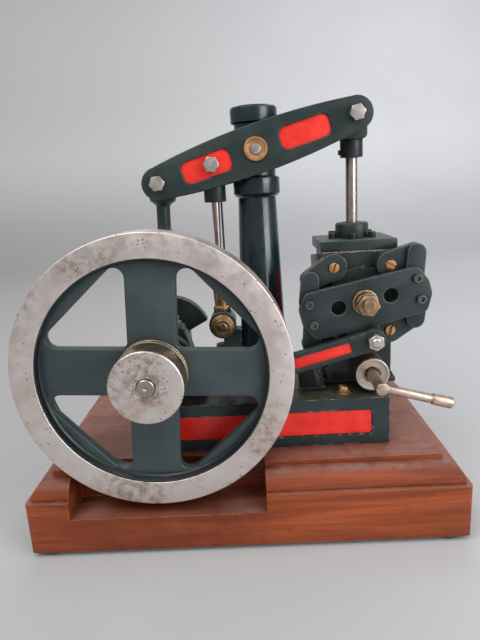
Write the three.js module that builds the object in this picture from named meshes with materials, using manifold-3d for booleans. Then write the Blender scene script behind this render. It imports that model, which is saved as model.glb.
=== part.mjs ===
// Model beam engine on a moulded wooden plinth, as a scene graph of separate named pieces.
// Millimetres, X to the right, Y to the back, Z up. Every shaft and pin lies along Y.
// Inside the engine group, X is measured from the middle of the plinth, Y from its front
// face and Z from its underside. The outer group moves the origin to the middle of the
// object's footprint, on the surface that it stands on.
import * as THREE from 'three';
import { mergeVertices } from 'three/addons/utils/BufferGeometryUtils.js';
import Module from 'manifold-3d';

const wasm = await Module();
wasm.setup();

// ---------------------------------------------------------------- driving dimensions

const gap = 0.3; // between neighbouring pieces
const past = 1; // how far a cutting shape runs past the face that it cuts
const degree = Math.PI / 180;

const plinth = {
  width: 250, depth: 156, lower: 31, upper: 13.2, corner: 3,
  ledge: 3, ovolo: 10.4, ovoloRise: 10, footRadius: 9.5, footHeight: 3, footInset: 11,
};
const notch = { left: -100.3, right: 11, depth: 24, floor: 20.5 };
const plinthTop = plinth.lower + gap + plinth.upper;

const bed = { left: -58.5, right: 86, front: 29.6, back: 120.4, height: 29, wall: 4 };
const bedPanel = { side: 10, foot: 6, height: 15.5, corner: 1.8, recess: 1 };
const bedTop = plinthTop + gap + bed.height;

const rodPlane = 75; // Y of the column, the cylinder and every rod under the beam

const wheel = {
  x: -47, z: 102.2, radius: 76.2, inner: 62.2, front: 4, back: 21,
  webFront: 9.7, webBack: 15.7, spoke: 27, hypotenuse: 55.4, turn: 3.2, boss: 14,
};
const shaft = { radius: 4.75, front: -14.2 };
const pulley = { radius: 19.4, front: -13.5, groove: 1.6, grooveDepth: 0.7 };

const beam = {
  x: 14.8, z: 217.7, arm: 60, pumpArm: 26.8, tilt: 15.7,
  endRadius: 9.5, halfHeight: 13.8, inner: 14.5, thickness: 4,
};
const beamPanel = { near: 15.3, far: 44.2, halfHeight: 6.2, corner: 4, recess: 1 };
const pin = { radius: 3, head: 4.7, headThickness: 3.6, nut: 4.6, nutThickness: 3 };
const pivot = { pinRadius: 3.8, bushRadius: 6.8, bushProud: 0.6 };

const column = {
  footRadius: 19, baseRadius: 15, topRadius: 11.6, top: 190.5,
  ringRadius: 14.2, ringTop: 202, neckRadius: 12, neckTop: 233.2, capRadius: 14, capTop: 242.6,
};

const crank = { throw: beam.arm * Math.sin(beam.tilt * degree), web: 8, counter: 27, half: 66 };
const bigEnd = { halfWidth: 9, halfHeight: 8.8, thickness: 11.4, pinRadius: 5 };

const bearing = {
  front: 43, back: 95, length: 12, left: -11, capHeight: 16,
  frontRight: { foot: 25, split: 18.7, top: 13.5 }, rearRight: { foot: 11, split: 11, top: 11 },
};

const cylinder = {
  x: 72.8, width: 39, depth: 44, bore: 11, coverSide: 45.2, coverBack: 42, cover: 6.3, sole: 3,
  top: 156.2, boreBottom: 106, discRadius: 18.2, discFront: 49.7,
  lugHalf: 24.5, lugHalfHeight: 7,
};
const exhaust = { foot: [35.5, 46.5], top: [33.5, 43.8], height: 18, front: 43, back: 58 };
const pistonRod = { radius: 3.5, bottom: 144, pistonRadius: 10.7, pistonHeight: 8 };
const gland = { radius: 10.15, height: 8.7 };

const wrist = {
  z: 129.6, tilt: 11.3, halfLength: 37.7, halfHeight: 12.8, lowerHalf: 15.4, corner: 6,
  front: 36, thickness: 4,
  holeX: 15.2, holeRadius: 4.2, linkX: 31.3, linkZ: 6.2, driveRadius: 22,
  studFront: 22.5, nutFront: 25, nutThickness: 4, collarRadius: 5.4,
};
const valve = { x: 16.3, z: 19.4, arm: 15.6, hub: 7.8, end: 5.3, radius: 2.9, plug: 2.2 };
const link = { radius: 5.3, thickness: 3, screw: 1.9, head: 2.6 };
const leftArmAngle = 205;
const rightArmAngle = 25;

const eccentric = { throw: 4.3, radius: 11.6, strap: 15.2, front: 29.7, thickness: 5.4 };
const eccentricRod = { halfDepth: 5.8, bendX: 20, slope: 14.45, joinX: -22, recess: 1 };

const stopValve = { x: 77, z: 86, radius: 9.8, front: 34, spindle: 3.4, nose: 10, lever: 41 };
const leverRest = 15.7;

const pump = { x: -11, chestZ: 112, chestRadius: 8.5, barrelTop: 146, capRadius: 7.2 };

// ---------------------------------------------------------------- materials

function paint(color, roughness, metalness) {
  return new THREE.MeshStandardMaterial({ color, roughness, metalness });
}

const green = paint(0x25383a, 0.42, 0.0);
const steel = paint(0xb4aaa4, 0.38, 1.0);
const brass = paint(0xb08a52, 0.36, 1.0);
const wood = paint(0x8a4226, 0.5, 0.0);
const rubber = paint(0x4b4d46, 0.85, 0.0);

// ---------------------------------------------------------------- solids

// Signed volume of an indexed triangle list: negative when the faces point inward.
function signedVolume(points, triangles) {
  const a = new THREE.Vector3();
  const b = new THREE.Vector3();
  const c = new THREE.Vector3();
  let total = 0;
  for (let i = 0; i < triangles.length; i += 3) {
    a.fromArray(points, 3 * triangles[i]);
    b.fromArray(points, 3 * triangles[i + 1]);
    c.fromArray(points, 3 * triangles[i + 2]);
    total += a.dot(b.cross(c)) / 6;
  }
  return total;
}

// A closed three.js geometry as a manifold solid.
function solid(geometry) {
  const bare = geometry.clone();
  bare.deleteAttribute('normal');
  bare.deleteAttribute('uv');
  const merged = mergeVertices(bare, 1e-4);
  const points = Float32Array.from(merged.attributes.position.array);
  const all = merged.index.array;
  const kept = [];
  for (let i = 0; i < all.length; i += 3) {
    const [p, q, r] = [all[i], all[i + 1], all[i + 2]];
    if (p !== q && q !== r && r !== p) kept.push(p, q, r);
  }
  if (signedVolume(points, kept) < 0) kept.reverse();
  const triVerts = Uint32Array.from(kept);
  return new wasm.Manifold(new wasm.Mesh({ numProp: 3, vertProperties: points, triVerts }));
}

function geometryOf(shape) {
  const { vertProperties, triVerts } = shape.getMesh();
  const geometry = new THREE.BufferGeometry();
  geometry.setAttribute('position', new THREE.BufferAttribute(Float32Array.from(vertProperties), 3));
  geometry.setIndex(Array.from(triVerts));
  geometry.computeVertexNormals();
  return geometry;
}

function join(...shapes) {
  return shapes.reduce((sum, shape) => sum.add(shape));
}

function cut(shape, ...tools) {
  return tools.reduce((rest, tool) => rest.subtract(tool), shape);
}

// A block between two opposite corners.
function block(x0, x1, y0, y1, z0, z1) {
  const geometry = new THREE.BoxGeometry(x1 - x0, y1 - y0, z1 - z0);
  geometry.translate((x0 + x1) / 2, (y0 + y1) / 2, (z0 + z1) / 2);
  return solid(geometry);
}

// A round bar along Y.
function barY(radius, y0, y1, x = 0, z = 0, sides = 20) {
  const geometry = new THREE.CylinderGeometry(radius, radius, y1 - y0, sides);
  geometry.translate(x, (y0 + y1) / 2, z);
  return solid(geometry);
}

// A round bar along Z, which may taper from its bottom radius to its top one.
function barZ(bottom, z0, z1, x = 0, y = 0, sides = 24, top = bottom) {
  const geometry = new THREE.CylinderGeometry(top, bottom, z1 - z0, sides);
  geometry.rotateX(Math.PI / 2);
  geometry.translate(x, y, (z0 + z1) / 2);
  return solid(geometry);
}

// A profile of [radius, height] pairs turned about Z, or about Y.
function turnZ(profile, sides = 28) {
  const geometry = new THREE.LatheGeometry(profile.map(([r, h]) => new THREE.Vector2(r, h)), sides);
  geometry.rotateX(Math.PI / 2);
  return solid(geometry);
}

function turnY(profile, sides = 28) {
  return solid(new THREE.LatheGeometry(profile.map(([r, h]) => new THREE.Vector2(r, h)), sides));
}

// An outline in X and Z, given thickness along Y.
function slab(outline, y0, y1, curveSegments = 6) {
  const geometry = new THREE.ExtrudeGeometry(outline, {
    depth: y1 - y0, bevelEnabled: false, curveSegments,
  });
  geometry.rotateX(Math.PI / 2);
  geometry.translate(0, y1, 0);
  return solid(geometry);
}

// A polygon whose corners are rounded, each by its own radius.
function roundedPolygon(corners, radii) {
  const shape = new THREE.Shape();
  corners.forEach((corner, i) => {
    const here = new THREE.Vector2(...corner);
    const before = new THREE.Vector2(...corners[(i + corners.length - 1) % corners.length]);
    const after = new THREE.Vector2(...corners[(i + 1) % corners.length]);
    const toBefore = before.sub(here).normalize();
    const toAfter = after.sub(here).normalize();
    const half = Math.acos(toBefore.dot(toAfter)) / 2;
    const reach = radii[i] / Math.tan(half);
    const start = here.clone().addScaledVector(toBefore, reach);
    const end = here.clone().addScaledVector(toAfter, reach);
    if (i === 0) shape.moveTo(start.x, start.y);
    else shape.lineTo(start.x, start.y);
    if (radii[i] > 0) shape.quadraticCurveTo(here.x, here.y, end.x, end.y);
  });
  shape.closePath();
  return shape;
}

function roundedBox(x0, x1, z0, z1, radius) {
  return roundedPolygon([[x0, z0], [x1, z0], [x1, z1], [x0, z1]], [radius, radius, radius, radius]);
}

// A bar with round ends from one centre to another, as an outline.
function stadium(x0, z0, x1, z1, radius) {
  const along = Math.atan2(z1 - z0, x1 - x0);
  const shape = new THREE.Shape();
  shape.absarc(x1, z1, radius, along - Math.PI / 2, along + Math.PI / 2, false);
  shape.absarc(x0, z0, radius, along + Math.PI / 2, along + 1.5 * Math.PI, false);
  shape.closePath();
  return shape;
}

function hexagonY(radius, y0, y1, x = 0, z = 0) {
  return barY(radius, y0, y1, x, z, 6);
}

function piece(parent, name, shape, material, x = 0, y = 0, z = 0) {
  const mesh = new THREE.Mesh(geometryOf(shape), material.clone());
  mesh.name = name;
  mesh.position.set(x, y, z);
  parent.add(mesh);
}

// A group at a pivot, turned about Y. A positive angle is anticlockwise seen from the front.
function turned(parent, x, z, angle) {
  const group = new THREE.Group();
  group.position.set(x, 0, z);
  group.rotation.y = -angle * degree;
  parent.add(group);
  return group;
}

// ---------------------------------------------------------------- plinth and bed

function addPlinth(engine) {
  const { width, depth, lower, upper, corner, ledge, ovolo, ovoloRise } = plinth;
  const plan = roundedBox(-width / 2, width / 2, -depth, 0, corner);
  const upright = { depth: lower, bevelEnabled: false, curveSegments: 4 };
  const board = new THREE.ExtrudeGeometry(plan, upright);
  board.translate(0, depth, 0);
  const well = block(notch.left, notch.right, -past, notch.depth, notch.floor, plinthTop + past);
  piece(engine, 'plinth_lower_board', cut(solid(board), well), wood);

  // The upper board's quarter-round moulding runs round all four sides: one outline swept
  // along the depth and one along the width meet in mitred corners.
  const moulded = (span) => {
    const edge = span / 2 - ledge - ovolo;
    const outline = new THREE.Shape();
    outline.absellipse(edge, 0, ovolo, ovoloRise, 0, Math.PI / 2, false, 0);
    outline.lineTo(edge, upper);
    outline.lineTo(-edge, upper);
    outline.absellipse(-edge, 0, ovolo, ovoloRise, Math.PI / 2, Math.PI, false, 0);
    outline.closePath();
    return outline;
  };
  const across = slab(moulded(width), 0, depth);
  const alongX = new THREE.ExtrudeGeometry(moulded(depth), {
    depth: width, bevelEnabled: false, curveSegments: 6,
  });
  alongX.rotateX(Math.PI / 2);
  alongX.rotateZ(Math.PI / 2);
  alongX.translate(-width / 2, depth / 2, 0);
  const upperBoard = across.intersect(solid(alongX)).translate([0, 0, lower + gap]);
  piece(engine, 'plinth_upper_board', cut(upperBoard, well), wood);

  const foot = barZ(plinth.footRadius, -plinth.footHeight - gap, -gap, 0, 0, 16);
  for (const [row, y] of [['front', plinth.footInset], ['rear', depth - plinth.footInset]]) {
    for (const [side, sign] of [['left', -1], ['right', 1]]) {
      const x = sign * (width / 2 - plinth.footInset);
      piece(engine, `foot_${row}_${side}`, foot, rubber, x, y, 0);
    }
  }
}

// The bed is a hollow casting, open below, with a sunk panel in each side.
function addBed(engine) {
  const { left, right, front, back, wall } = bed;
  const foot = plinthTop + gap;
  const outside = block(left, right, front, back, foot, bedTop);
  const inside = block(left + wall, right - wall, front + wall, back - wall, foot - past, bedTop - wall);
  const panelFoot = foot + bedPanel.foot;
  const panelTop = panelFoot + bedPanel.height;
  const long = roundedBox(left + bedPanel.side, right - bedPanel.side, panelFoot, panelTop, bedPanel.corner);
  const reach = bedPanel.recess + past;
  const sunk = [
    slab(long, front - past, front - past + reach),
    slab(long, back + past - reach, back + past),
  ];
  for (const x of [left - past, right + past - reach]) {
    const y0 = front + bedPanel.side;
    const y1 = back - bedPanel.side;
    sunk.push(block(x, x + reach, y0, y1, panelFoot, panelTop));
  }
  piece(engine, 'bed_casting', cut(outside, inside, ...sunk), green);
}

// ---------------------------------------------------------------- column and beam

function addColumn(engine) {
  const foot = bedTop + gap;
  const height = column.top - foot;
  const shaftProfile = [
    [0, 0], [column.footRadius, 0], [column.footRadius, 4], [column.footRadius - 2.5, 5],
    [column.baseRadius + 0.8, 7.5], [column.baseRadius, 11], [column.topRadius, height], [0, height],
  ];
  piece(engine, 'column_shaft', turnZ(shaftProfile), green, beam.x, rodPlane, foot);

  const ringFoot = column.top + gap;
  const { ringRadius, ringTop, neckRadius, neckTop, capRadius, capTop } = column;
  const headProfile = [
    [0, ringFoot], [ringRadius - 2, ringFoot], [ringRadius, ringFoot + 2], [ringRadius, ringTop - 0.8],
    [ringRadius - 0.8, ringTop], [neckRadius, ringTop], [neckRadius, neckTop], [capRadius, neckTop + 0.6],
    [capRadius, capTop - 1.2], [capRadius - 1.2, capTop], [0, capTop],
  ];
  const bore = barY(pivot.pinRadius + gap, -capRadius - past, capRadius + past, 0, beam.z);
  piece(engine, 'column_head', cut(turnZ(headProfile), bore), green, beam.x, rodPlane, 0);
}

// One side plate of the beam: long edges bulge, ends are round about the end pins.
function beamOutline() {
  const { arm, endRadius, halfHeight } = beam;
  const rise = halfHeight - endRadius;
  const bulge = (arm * arm + rise * rise) / (2 * rise);
  const centre = halfHeight - bulge;
  const half = Math.asin(arm / bulge);
  const outline = new THREE.Shape();
  outline.absarc(arm, 0, endRadius, -Math.PI / 2, Math.PI / 2, false);
  outline.absarc(0, centre, bulge, Math.PI / 2 - half, Math.PI / 2 + half, false);
  outline.absarc(-arm, 0, endRadius, Math.PI / 2, 1.5 * Math.PI, false);
  outline.absarc(0, -centre, bulge, -Math.PI / 2 - half, -Math.PI / 2 + half, false);
  outline.closePath();
  return outline;
}

function beamPlate(side) {
  const near = rodPlane + side * beam.inner;
  const far = near + side * beam.thickness;
  const [y0, y1] = side < 0 ? [far, near] : [near, far];
  const holes = [beam.arm, -beam.arm, -beam.pumpArm].map((s) =>
    barY(pin.radius + gap, y0 - past, y1 + past, s, 0));
  holes.push(barY(pivot.bushRadius + gap, y0 - past, y1 + past));
  const { near: start, far: end, halfHeight, corner, recess } = beamPanel;
  for (const [s0, s1] of [[start, end], [-end, -start]]) {
    const panel = roundedBox(s0, s1, -halfHeight, halfHeight, corner);
    const face = far - side * recess;
    holes.push(slab(panel, Math.min(face, far + side * past), Math.max(face, far + side * past), 3));
  }
  return cut(slab(beamOutline(), y0, y1, 12), ...holes);
}

// A hexagon-headed pin across both plates, with its nut at the back.
function beamPin() {
  const face = beam.inner + beam.thickness + gap;
  return join(
    hexagonY(pin.head, rodPlane - face - pin.headThickness, rodPlane - face),
    barY(pin.radius, rodPlane - face - past, rodPlane + face + past, 0, 0, 20),
    hexagonY(pin.nut, rodPlane + face, rodPlane + face + pin.nutThickness),
  );
}

function addBeam(engine) {
  const group = turned(engine, beam.x, beam.z, beam.tilt);
  piece(group, 'beam_front_plate', beamPlate(-1), green);
  piece(group, 'beam_rear_plate', beamPlate(1), green);
  piece(group, 'beam_pin_left', beamPin(), steel, -beam.arm);
  piece(group, 'beam_pin_middle', beamPin(), steel, -beam.pumpArm);
  piece(group, 'beam_pin_right', beamPin(), steel, beam.arm);

  // Each plate turns on a flanged bush, whose flange fills the space beside the column.
  const { pinRadius, bushRadius, bushProud } = pivot;
  const outer = beam.inner + beam.thickness + bushProud;
  const flange = bushRadius + 1.6;
  const neck = column.neckRadius + gap;
  const bore = pinRadius + gap;
  const profile = [
    [bore, neck], [flange, neck], [flange, beam.inner - gap], [bushRadius, beam.inner - gap],
    [bushRadius, outer], [bore, outer], [bore, neck],
  ];
  const rearBush = turnY(profile, 24);
  const frontBush = turnY(profile.map(([r, y]) => [r, -y]), 24);
  piece(group, 'beam_bush_front', frontBush, brass, 0, rodPlane);
  piece(group, 'beam_bush_rear', rearBush, brass, 0, rodPlane);
  const reach = outer - 0.2;
  piece(engine, 'beam_pivot_pin', barY(pinRadius, -reach, reach), steel, beam.x, rodPlane, beam.z);
}

// ---------------------------------------------------------------- connecting rod and crank

// Rest places of the left beam pin and of the crank pin, at bottom dead centre.
const leftPin = {
  x: beam.x - beam.arm * Math.cos(beam.tilt * degree),
  z: beam.z - beam.arm * Math.sin(beam.tilt * degree),
};
const lean = Math.atan2(leftPin.x - wheel.x, leftPin.z - wheel.z);
const rodLength = Math.hypot(leftPin.x - wheel.x, leftPin.z - wheel.z) + crank.throw;
const crankPin = {
  x: wheel.x - crank.throw * Math.sin(lean),
  z: wheel.z - crank.throw * Math.cos(lean),
};

function addConnectingRod(engine) {
  const group = turned(engine, leftPin.x, leftPin.z, -lean / degree);
  const shank = 4.2;
  const eye = turnZ([
    [0, -20], [shank, -20], [shank, -13.5], [5.6, -11.6], [7.6, -10], [8.2, -8], [8.2, 6.5], [7, 8], [0, 8],
  ]);
  const bar = barZ(shank, -rodLength + 6, -19, 0, 0, 20);
  // The flat belly of the rod widens quickly, then fades into the lower shank.
  const belly = new THREE.Shape();
  const side = [[4.2, -27], [6.8, -36], [7.2, -43], [6, -50], [5.2, -62], [4.4, -82]];
  belly.moveTo(side[0][0], side[0][1]);
  belly.splineThru(side.slice(1).map(([x, z]) => new THREE.Vector2(x, z)));
  belly.lineTo(-side[side.length - 1][0], side[side.length - 1][1]);
  belly.splineThru(side.slice(0, -1).reverse().map(([x, z]) => new THREE.Vector2(-x, z)));
  belly.closePath();
  const inlay = roundedPolygon(
    [[-3.2, -31], [3.2, -31], [5.3, -37], [5.3, -46.8], [-5.3, -46.8], [-5.3, -37]],
    [2, 2, 3, 3, 3, 3],
  );
  const recess = [slab(inlay, -4 - past, -3.2), slab(inlay, 3.2, 4 + past)];
  const middle = cut(slab(belly, -4, 4, 4), ...recess);
  const { halfWidth, halfHeight, thickness, pinRadius } = bigEnd;
  const bigEndOutline = roundedBox(
    -halfWidth, halfWidth, -rodLength - halfHeight, -rodLength + halfHeight, 3,
  );
  const end = slab(bigEndOutline, -thickness / 2, thickness / 2);
  const bores = [barY(pin.radius + gap, -10, 10), barY(pinRadius + gap, -10, 10, 0, -rodLength)];
  const rod = cut(join(eye, cut(bar, ...recess), middle, end), ...bores);
  piece(group, 'connecting_rod', rod, green, 0, rodPlane);
  // The crank pin stops short of both webs: this is where the closed linkage is opened.
  const halfPin = bigEnd.thickness / 2 + 1;
  piece(group, 'crank_pin', barY(pinRadius, -halfPin, halfPin), steel, 0, rodPlane, -rodLength);
}

// The rear web carries the counterweight, opposite the pin.
function crankWeb(y0, y1) {
  return slab(stadium(0, 0, 0, -crank.throw, 7.4), y0, y1, 8);
}

function counterweight(y0, y1) {
  const { counter, half } = crank;
  const sector = new THREE.Shape();
  sector.absarc(0, 0, counter, (90 - half) * degree, (90 + half) * degree, false);
  sector.lineTo(-6, 0);
  sector.lineTo(6, 0);
  sector.closePath();
  return slab(sector, y0, y1, 14);
}

function addCrank(engine) {
  const group = turned(engine, wheel.x, wheel.z, -lean / degree);
  const inside = bigEnd.thickness / 2 + 1 + gap;
  const frontWeb = rodPlane - inside - crank.web;
  const rearWeb = rodPlane + inside;
  const bore = barY(shaft.radius + gap, frontWeb - past, frontWeb + crank.web + past);
  piece(group, 'crank_web_front', cut(crankWeb(frontWeb, frontWeb + crank.web), bore), green);
  const journal = barY(shaft.radius, rearWeb + past, bearing.back + bearing.length + 2);
  const rearEnd = rearWeb + crank.web;
  const rear = join(crankWeb(rearWeb, rearEnd), counterweight(rearWeb, rearEnd), journal);
  piece(group, 'crank_web_rear', rear, green);
  piece(group, 'crankshaft', barY(shaft.radius, shaft.front, frontWeb + crank.web), steel);
}

// ---------------------------------------------------------------- flywheel and pulley

function addFlywheel(engine) {
  const { radius, inner, front, back, webFront, webBack, boss } = wheel;
  const bore = shaft.radius + gap;
  const chamfer = 0.6;
  const section = [
    [bore, webFront], [inner - 1, webFront], [inner, front], [radius - chamfer, front],
    [radius, front + chamfer], [radius, back - chamfer], [radius - chamfer, back], [inner, back],
    [inner - 1, webBack], [boss, webBack], [boss, back + 2], [bore, back + 2], [bore, webFront],
  ];
  // Four windows leave four broad spokes. Each is a right-angled triangle with round corners.
  const leg = wheel.spoke / 2;
  const far = wheel.hypotenuse * Math.SQRT2 - leg;
  const windows = [];
  for (let quarter = 0; quarter < 4; quarter += 1) {
    const outline = roundedPolygon([[leg, leg], [far, leg], [leg, far]], [3.5, 5.5, 5.5]);
    const window = slab(outline, webFront - past, webBack + past, 4);
    windows.push(window.rotate([0, 90 * quarter + wheel.turn, 0]));
  }
  piece(engine, 'flywheel', cut(turnY(section, 64), ...windows), steel, wheel.x, 0, wheel.z);

  const { radius: rim, front: face, groove, grooveDepth } = pulley;
  const end = webFront - gap;
  const profile = [
    [bore, face], [rim - 0.6, face], [rim, face + 0.6], [rim, end - 7], [rim - grooveDepth, end - 7],
    [rim - grooveDepth, end - 7 + groove], [rim, end - 7 + groove], [rim, end - 4],
    [rim - grooveDepth, end - 4], [rim - grooveDepth, end - 4 + groove], [rim, end - 4 + groove],
    [rim, end], [bore, end], [bore, face],
  ];
  piece(engine, 'belt_pulley', turnY(profile, 32), steel, wheel.x, 0, wheel.z);
}

// ---------------------------------------------------------------- shaft bearings

function addBearing(engine, where, y0, right) {
  const y1 = y0 + bearing.length;
  const foot = bedTop + gap;
  const split = wheel.z - gap / 2;
  const bore = barY(shaft.radius + gap, y0 - past, y1 + past, 0, wheel.z);
  const pedestal = roundedPolygon(
    [[bearing.left, foot], [right.foot, foot], [right.foot, foot + 4], [right.split, split],
      [bearing.left, split]],
    [0, 0, 1.5, 0, 0],
  );
  piece(engine, `bearing_pedestal_${where}`, cut(slab(pedestal, y0, y1), bore), green, wheel.x);
  const capTop = split + bearing.capHeight;
  const cap = roundedPolygon(
    [[bearing.left, split + gap], [right.split, split + gap], [right.top, capTop], [bearing.left, capTop]],
    [0, 0, 2.5, 1.5],
  );
  piece(engine, `bearing_cap_${where}`, cut(slab(cap, y0, y1, 3), bore), green, wheel.x);
}

// ---------------------------------------------------------------- cylinder and piston

function addCylinder(engine) {
  const { x, width, depth, bore, coverSide, coverBack, cover, sole, top, boreBottom } = cylinder;
  const foot = bedTop + gap;
  const base = foot + sole + gap;
  const front = rodPlane - depth / 2;
  const back = rodPlane + depth / 2;
  const holes = [barZ(bore, boreBottom, top + past, 0, rodPlane, 32)];
  const bosses = [];
  for (const vx of [-valve.x, valve.x]) {
    for (const vz of [wrist.z - valve.z, wrist.z + valve.z]) {
      bosses.push(barY(valve.hub - 0.6, front - 3.6, front + past, vx, vz));
      holes.push(barY(valve.plug + gap, front - 3.6 - past, back - 4, vx, vz, 16));
      holes.push(block(Math.min(0, vx), Math.max(0, vx), rodPlane - 4, rodPlane + 4, vz - 1.2, vz + 1.2));
    }
  }
  const { discRadius, discFront, lugHalf, lugHalfHeight } = cylinder;
  const lugFoot = wrist.z - lugHalfHeight;
  const lugTop = wrist.z + lugHalfHeight;
  bosses.push(barY(discRadius, discFront, front + past, 0, wrist.z, 40));
  bosses.push(block(-lugHalf, lugHalf, discFront, front + past, lugFoot, lugTop));
  const studHole = pivot.pinRadius - 0.3 + gap;
  const stud = barY(studHole, discFront - past, front + 10, 0, wrist.z, 20);
  const chest = cut(
    block(-width / 2 - 4.4, -width / 2 + past, front + 5, back - 5, base + 6, top - 5),
    block(-width / 2 - 4.4 - past, -width / 2 - 3.6, front + 9, back - 9, base + 10, top - 9),
  );
  const body = join(block(-width / 2, width / 2, front, back, base, top), chest, ...bosses);
  piece(engine, 'cylinder_block', cut(body, stud, ...holes), green, x);

  const half = coverSide / 2;
  const rodHole = (z0, z1) => barZ(pistonRod.radius + gap, z0, z1, 0, rodPlane);
  const coverFoot = top + 2 * gap;
  const coverTop = coverFoot + cover;
  const coverFront = rodPlane - half;
  const lid = block(-half, half, coverFront, coverFront + coverBack, coverFoot, coverTop);
  piece(engine, 'cylinder_top_cover', cut(lid, rodHole(coverFoot - past, coverTop + past)), green, x);

  // The sole plate runs on to the left, where it carries the leaning exhaust box.
  const boxLeft = exhaust.foot[0] - x;
  const boxRight = exhaust.foot[1] - x;
  const boxTop = foot + exhaust.height;
  const box = roundedPolygon(
    [[boxLeft, foot], [boxRight, foot], [exhaust.top[1] - x, boxTop], [exhaust.top[0] - x, boxTop]],
    [0, 0, 1.2, 1.2],
  );
  const plate = join(
    block(-half, half, front, back, foot, foot + sole),
    block(boxLeft, past - half, exhaust.front, exhaust.back, foot, foot + sole),
    slab(box, exhaust.front, exhaust.back, 3),
  );
  piece(engine, 'cylinder_sole_plate', plate, green, x);

  const glandFoot = coverTop + gap;
  const inner = pistonRod.radius + gap;
  const sleeve = turnZ([
    [inner, 0], [gland.radius, 0], [gland.radius, gland.height - 1.2], [gland.radius - 1.2, gland.height],
    [inner, gland.height], [inner, 0],
  ]);
  piece(engine, 'piston_gland', sleeve, green, x, rodPlane, glandFoot);
}

function addPiston(engine) {
  const { radius, bottom, pistonRadius, pistonHeight } = pistonRod;
  const x = cylinder.x;
  const disc = turnZ([
    [radius + gap, 0], [pistonRadius, 0], [pistonRadius, 2.4], [pistonRadius - 0.7, 2.4],
    [pistonRadius - 0.7, 3.6], [pistonRadius, 3.6], [pistonRadius, pistonHeight],
    [radius + gap, pistonHeight], [radius + gap, 0],
  ]);
  piece(engine, 'piston', disc, brass, x, rodPlane, bottom);
  const socketFoot = 210.6;
  const socketBore = 8;
  const rodTop = socketFoot + socketBore;
  piece(engine, 'piston_rod', barZ(radius, bottom - 2, rodTop - gap), steel, x, rodPlane);

  // The rod end is a round socket below a square eye. The eye is slotted across, because the
  // beam pin swings through an arc while the rod runs straight.
  const arc = beam.arm * (1 - Math.cos(beam.tilt * degree));
  const pinRest = beam.x + beam.arm * Math.cos(beam.tilt * degree);
  const pinHeight = beam.z + beam.arm * Math.sin(beam.tilt * degree);
  const slotWidth = pin.radius + gap + 0.2;
  const slot = slab(stadium(pinRest - x, pinHeight, pinRest - x + arc, pinHeight, slotWidth), -12, 12);
  const middle = pinRest - x + arc / 2;
  const eye = slab(roundedBox(middle - 7, middle + 7, 220.6, 243.4, 3), -9, 9, 4);
  const socket = barZ(6.75, socketFoot, 221.6);
  const rodEnd = cut(join(socket, eye), slot, barZ(radius + gap, socketFoot - past, rodTop));
  piece(engine, 'rod_end', rodEnd, green, x, rodPlane);
}

// ---------------------------------------------------------------- valve gear

function addWristPlate(engine) {
  const { halfLength, halfHeight, lowerHalf, front, thickness, holeX, holeRadius, driveRadius } = wrist;
  const group = turned(engine, cylinder.x, wrist.z, wrist.tilt);
  const back = front + thickness;
  const hole = (x, z, radius) => barY(radius, front - past, back + past, x, z, 20);
  const outline = roundedBox(-halfLength, halfLength, -lowerHalf, halfHeight, wrist.corner);
  const plate = slab(outline, front, back, 4);
  const lobe = slab(stadium(0, 0, 0, -driveRadius, 5.4), front, back, 5);
  const studRadius = pivot.pinRadius - 0.3;
  const holes = [hole(0, 0, studRadius + gap), hole(0, -driveRadius, 2.5 + gap)];
  for (const side of [-1, 1]) {
    holes.push(hole(side * holeX, 0, holeRadius));
    holes.push(hole(side * wrist.linkX, wrist.linkZ, link.screw + gap));
    holes.push(hole(side * wrist.linkX, -wrist.linkZ, link.screw + gap));
  }
  piece(group, 'wrist_plate', cut(join(plate, lobe), ...holes), green);

  // The drive pin carries the eccentric rod's eye between the plate and its own nut.
  const nutFront = eccentric.front - gap - 3.4;
  const drivePin = join(
    barY(2.5, nutFront - 1, back, 0, 0, 16),
    hexagonY(4.5, nutFront, nutFront + 3.4),
  );
  piece(group, 'drive_pin', drivePin, steel, 0, 0, -driveRadius);

  const nutBack = front - gap;
  const stud = join(
    barY(studRadius, wrist.studFront, rodPlane - cylinder.depth / 2 + 9, 0, 0, 20),
    hexagonY(6.6, wrist.nutFront, wrist.nutFront + wrist.nutThickness),
    barY(wrist.collarRadius, wrist.nutFront + past, nutBack, 0, 0, 24),
  );
  piece(engine, 'wrist_stud', stud, brass, cylinder.x, 0, wrist.z);
  return group;
}

// A link hangs on its screw through the wrist plate and reaches to the end of a valve arm.
function addLink(group, name, wristPin, armEnd) {
  const y0 = wrist.front + wrist.thickness + gap;
  const outline = stadium(0, 0, armEnd.x - wristPin.x, armEnd.z - wristPin.z, link.radius);
  const bar = slab(outline, y0, y0 + link.thickness);
  const screw = join(
    barY(link.screw, wrist.front - 1, y0 + past, 0, 0, 16),
    barY(link.head, wrist.front - gap - 1.6, wrist.front - gap, 0, 0, 16),
  );
  piece(group, name, join(bar, screw), green, wristPin.x, 0, wristPin.z);
}

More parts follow.
